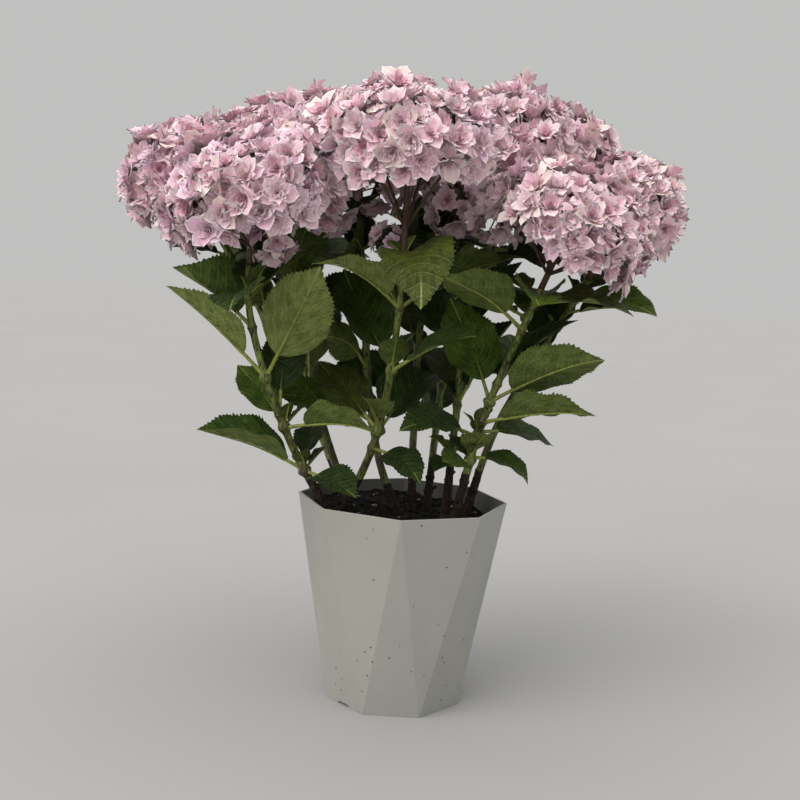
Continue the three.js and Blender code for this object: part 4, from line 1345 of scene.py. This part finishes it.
def make_florets(stem, stems, looks):
    sheets = Sheets()
    random = Stream(stem.salted("sepals"))
    warmth = min(max((stem.head.centre[0] + CROWN_HALF_WIDTH) / (2 * CROWN_HALF_WIDTH), 0), 1)
    for floret in stem.florets:
        add_floret(sheets, floret, random, warmth)
    for floret in head_florets(stem, stems, INNER_FLORETS["area"], INNER_FLORETS["depth"], "inner"):
        add_floret(sheets, replace(floret, size=INNER_FLORETS["size"]), random, warmth, INNER_WHORLS)
    for _, _, florets in stem.branches():
        for floret in florets:
            add_floret(sheets, floret, random, warmth)
    sheets.piece("florets_" + stem.name, looks, "blossom", ["head_" + stem.name], ("Sepal", "OFBake"))


def make_rays(stem, look):
    """The stalk inside a head, the rays that fork from it and the fine stalk of each floret."""
    head, sheets = stem.head, Sheets()
    places = np.linspace(SHOOT_END, STALK_END, INNER_STALK["rings"])
    radii = np.linspace(PEDUNCLE_RADIUS, STALK_END_RADIUS, INNER_STALK["rings"])
    stem.add_tube(sheets, places, radii, INNER_STALK["sides"])
    fork = stem.curve.at(SHOOT_END + RAY["fork"] * (1 - SHOOT_END))
    joints = [stem.curve.at(RAY["joints"])]
    for turn in round_turn(RAY["count"]) + stem.seed:
        east, north = RAY["out"] * head.width * compass(turn)
        end = head.centre + head.local(east, north, -RAY["below"] * head.height)
        sheets.add_rod(fork, end, *RAY["rod"])
        joints.append(fork + RAY["forks"][:, None] * (end - fork))
    joints = np.concatenate(joints)
    steps = np.linspace(0, 1, FINE_STALK["rings"])
    for floret in stem.florets:
        foot = joints[np.linalg.norm(joints - floret.centre, axis=1).argmin()]
        bend = FINE_STALK["bend"] * np.linalg.norm(floret.centre - foot) * head.axis
        way = Curve([foot, (foot + floret.centre) / 2 + bend, floret.centre])
        radii = between(FINE_STALK["radii"], steps)
        sheets.add(tube(way.at(steps), way.along(steps), radii, FINE_STALK["sides"]), 0, ring=True)
    for foot, tip, florets in stem.branches():
        sheets.add_rod(foot, tip, *BRANCH["stem"])
        for floret in florets:
            sheets.add_rod(tip, floret.centre, *BRANCH["stalk"])
    sheets.piece("rays_" + stem.name, [look], "blossom", ["head_" + stem.name])


def make_plant():
    stems = [Stem(index, name) for index, name in enumerate(STEMS)]
    for stem in stems:
        stem.planes = partings(stem, stems)
    for stem in stems:
        random = Stream(stem.salted("settling"))
        florets = [settled(floret, stem, random) for floret in head_florets(stem, stems)]
        point, kept = TRIMS.get(stem.name, (stem.head.centre, (0, 0, 0)))
        stem.florets = [f for f in florets if (f.centre - np.array(point)) @ np.array(kept) >= 0]
    taken = []
    for stem in stems:
        stem.leaves = shoot_leaves(stem, taken, stems)
    for stem in stems:
        if stem.name not in BARE_COLLARS:
            stem.collar = collar_leaves(stem, taken, stems)
    for stem in stems:
        stem.leaflets = axil_leaflets(stem, taken)
    leaves, petals, cane = leaf_looks(), petal_looks(), bark()
    rod = [green_stem(), plain_stalk("leaf_scar", srgb(112, 94, 52), srgb(70, 50, 28))]
    # Dark reddish-brown flower stalks, partly their own colour and partly painted shade from the crown above
    # them.
    ray = plain_stalk("flower_stalk", srgb(96, 76, 50), srgb(64, 38, 32))
    for stem in stems:
        make_cane(stem, cane)
        make_stem(stem, rod)
        make_leaves(stem, leaves)
        make_rays(stem, ray)
        make_florets(stem, stems, petals)


# The scene around the plant

CAMERA = {"place": (0.0033, -1.0461, 0.4290), "yaw": -0.64, "pitch": 6.28, "roll": 3.09, "focal": 1008}
PHOTO_SIDE = 800
SENSOR = 36
BACKDROP = (0.53, 0.53, 0.525, 1)
AMBIENT = (0.535, 0.535, 0.54, 1)
# Each light: the way that it shines, its power, its softness in degrees and its colour
SUNS = {
    "key": ((0.6, 0.52, -0.6), 1.65, 50, (1.0, 0.985, 0.97)),
    "top": ((0.06, 0.12, -1), 1.8, 70, (1.0, 0.995, 0.99)),
    "fill": ((-0.75, 0.55, -0.36), 0.24, 70, (0.97, 0.985, 1.0)),
}
FLOOR_HALF = 60.0


def make_camera():
    yaw, pitch, roll = (math.radians(CAMERA[key]) for key in ("yaw", "pitch", "roll"))
    right = np.array([math.cos(yaw), -math.sin(yaw), 0])
    ahead = np.array([math.sin(yaw) * math.cos(pitch), math.cos(yaw) * math.cos(pitch), -math.sin(pitch)])
    upward = np.cross(right, ahead)
    turned = math.cos(roll) * right + math.sin(roll) * upward
    upward = math.cos(roll) * upward - math.sin(roll) * right
    data = bpy.data.cameras.new("camera")
    data.sensor_width = SENSOR
    data.lens = SENSOR * CAMERA["focal"] / PHOTO_SIDE
    data.clip_start = 0.05
    camera = bpy.data.objects.new("camera", data)
    basis = Matrix([turned, upward, -ahead]).transposed().to_4x4()
    camera.matrix_world = Matrix.Translation(CAMERA["place"]) @ basis
    bpy.context.scene.collection.objects.link(camera)
    bpy.context.scene.camera = camera


def make_studio():
    """Soft light from above and from the upper left and front, and even light from all round."""
    for name, (direction, power, softness, colour) in SUNS.items():
        data = bpy.data.lights.new(name, "SUN")
        data.energy = power
        data.angle = math.radians(softness)
        data.color = colour
        light = bpy.data.objects.new(name, data)
        light.rotation_euler = Vector(direction).to_track_quat("-Z", "Y").to_euler()
        bpy.context.scene.collection.objects.link(light)
    world = bpy.data.worlds.new("studio")
    world.use_nodes = True
    tree = world.node_tree
    seen = tree.nodes.new("ShaderNodeLightPath")
    tones = tree.nodes.new("ShaderNodeMix")
    tones.data_type = "RGBA"
    tones.inputs[6].default_value = AMBIENT
    tones.inputs[7].default_value = BACKDROP
    tree.links.new(seen.outputs["Is Camera Ray"], tones.inputs[0])
    tree.links.new(tones.outputs[2], tree.nodes["Background"].inputs[0])
    bpy.context.scene.world = world
    bpy.context.scene.view_settings.view_transform = "Standard"


def make_floor():
    """A wide floor that is as pale in this light as the air behind it."""
    g = Graph("floor_paint", roughness=0.7, specular_ior_level=0.2)
    cloud = g.noise(g.place(), 1.4, detail=3)
    paint = g.finish(g.mix(cloud, srgb(158, 157, 155), srgb(166, 165, 163)))
    mesh = bpy.data.meshes.new("floor")
    corners = [(x * FLOOR_HALF, y * FLOOR_HALF, 0) for x, y in ((-1, -1), (1, -1), (1, 1), (-1, 1))]
    mesh.from_pydata(corners, [], [(0, 1, 2, 3)])
    mesh.materials.append(paint)
    floor = bpy.data.objects.new("floor", mesh)
    bpy.context.scene.collection.objects.link(floor)


make_camera()
make_studio()
make_floor()
make_pot()
make_soil()
make_crumbs()
make_plant()
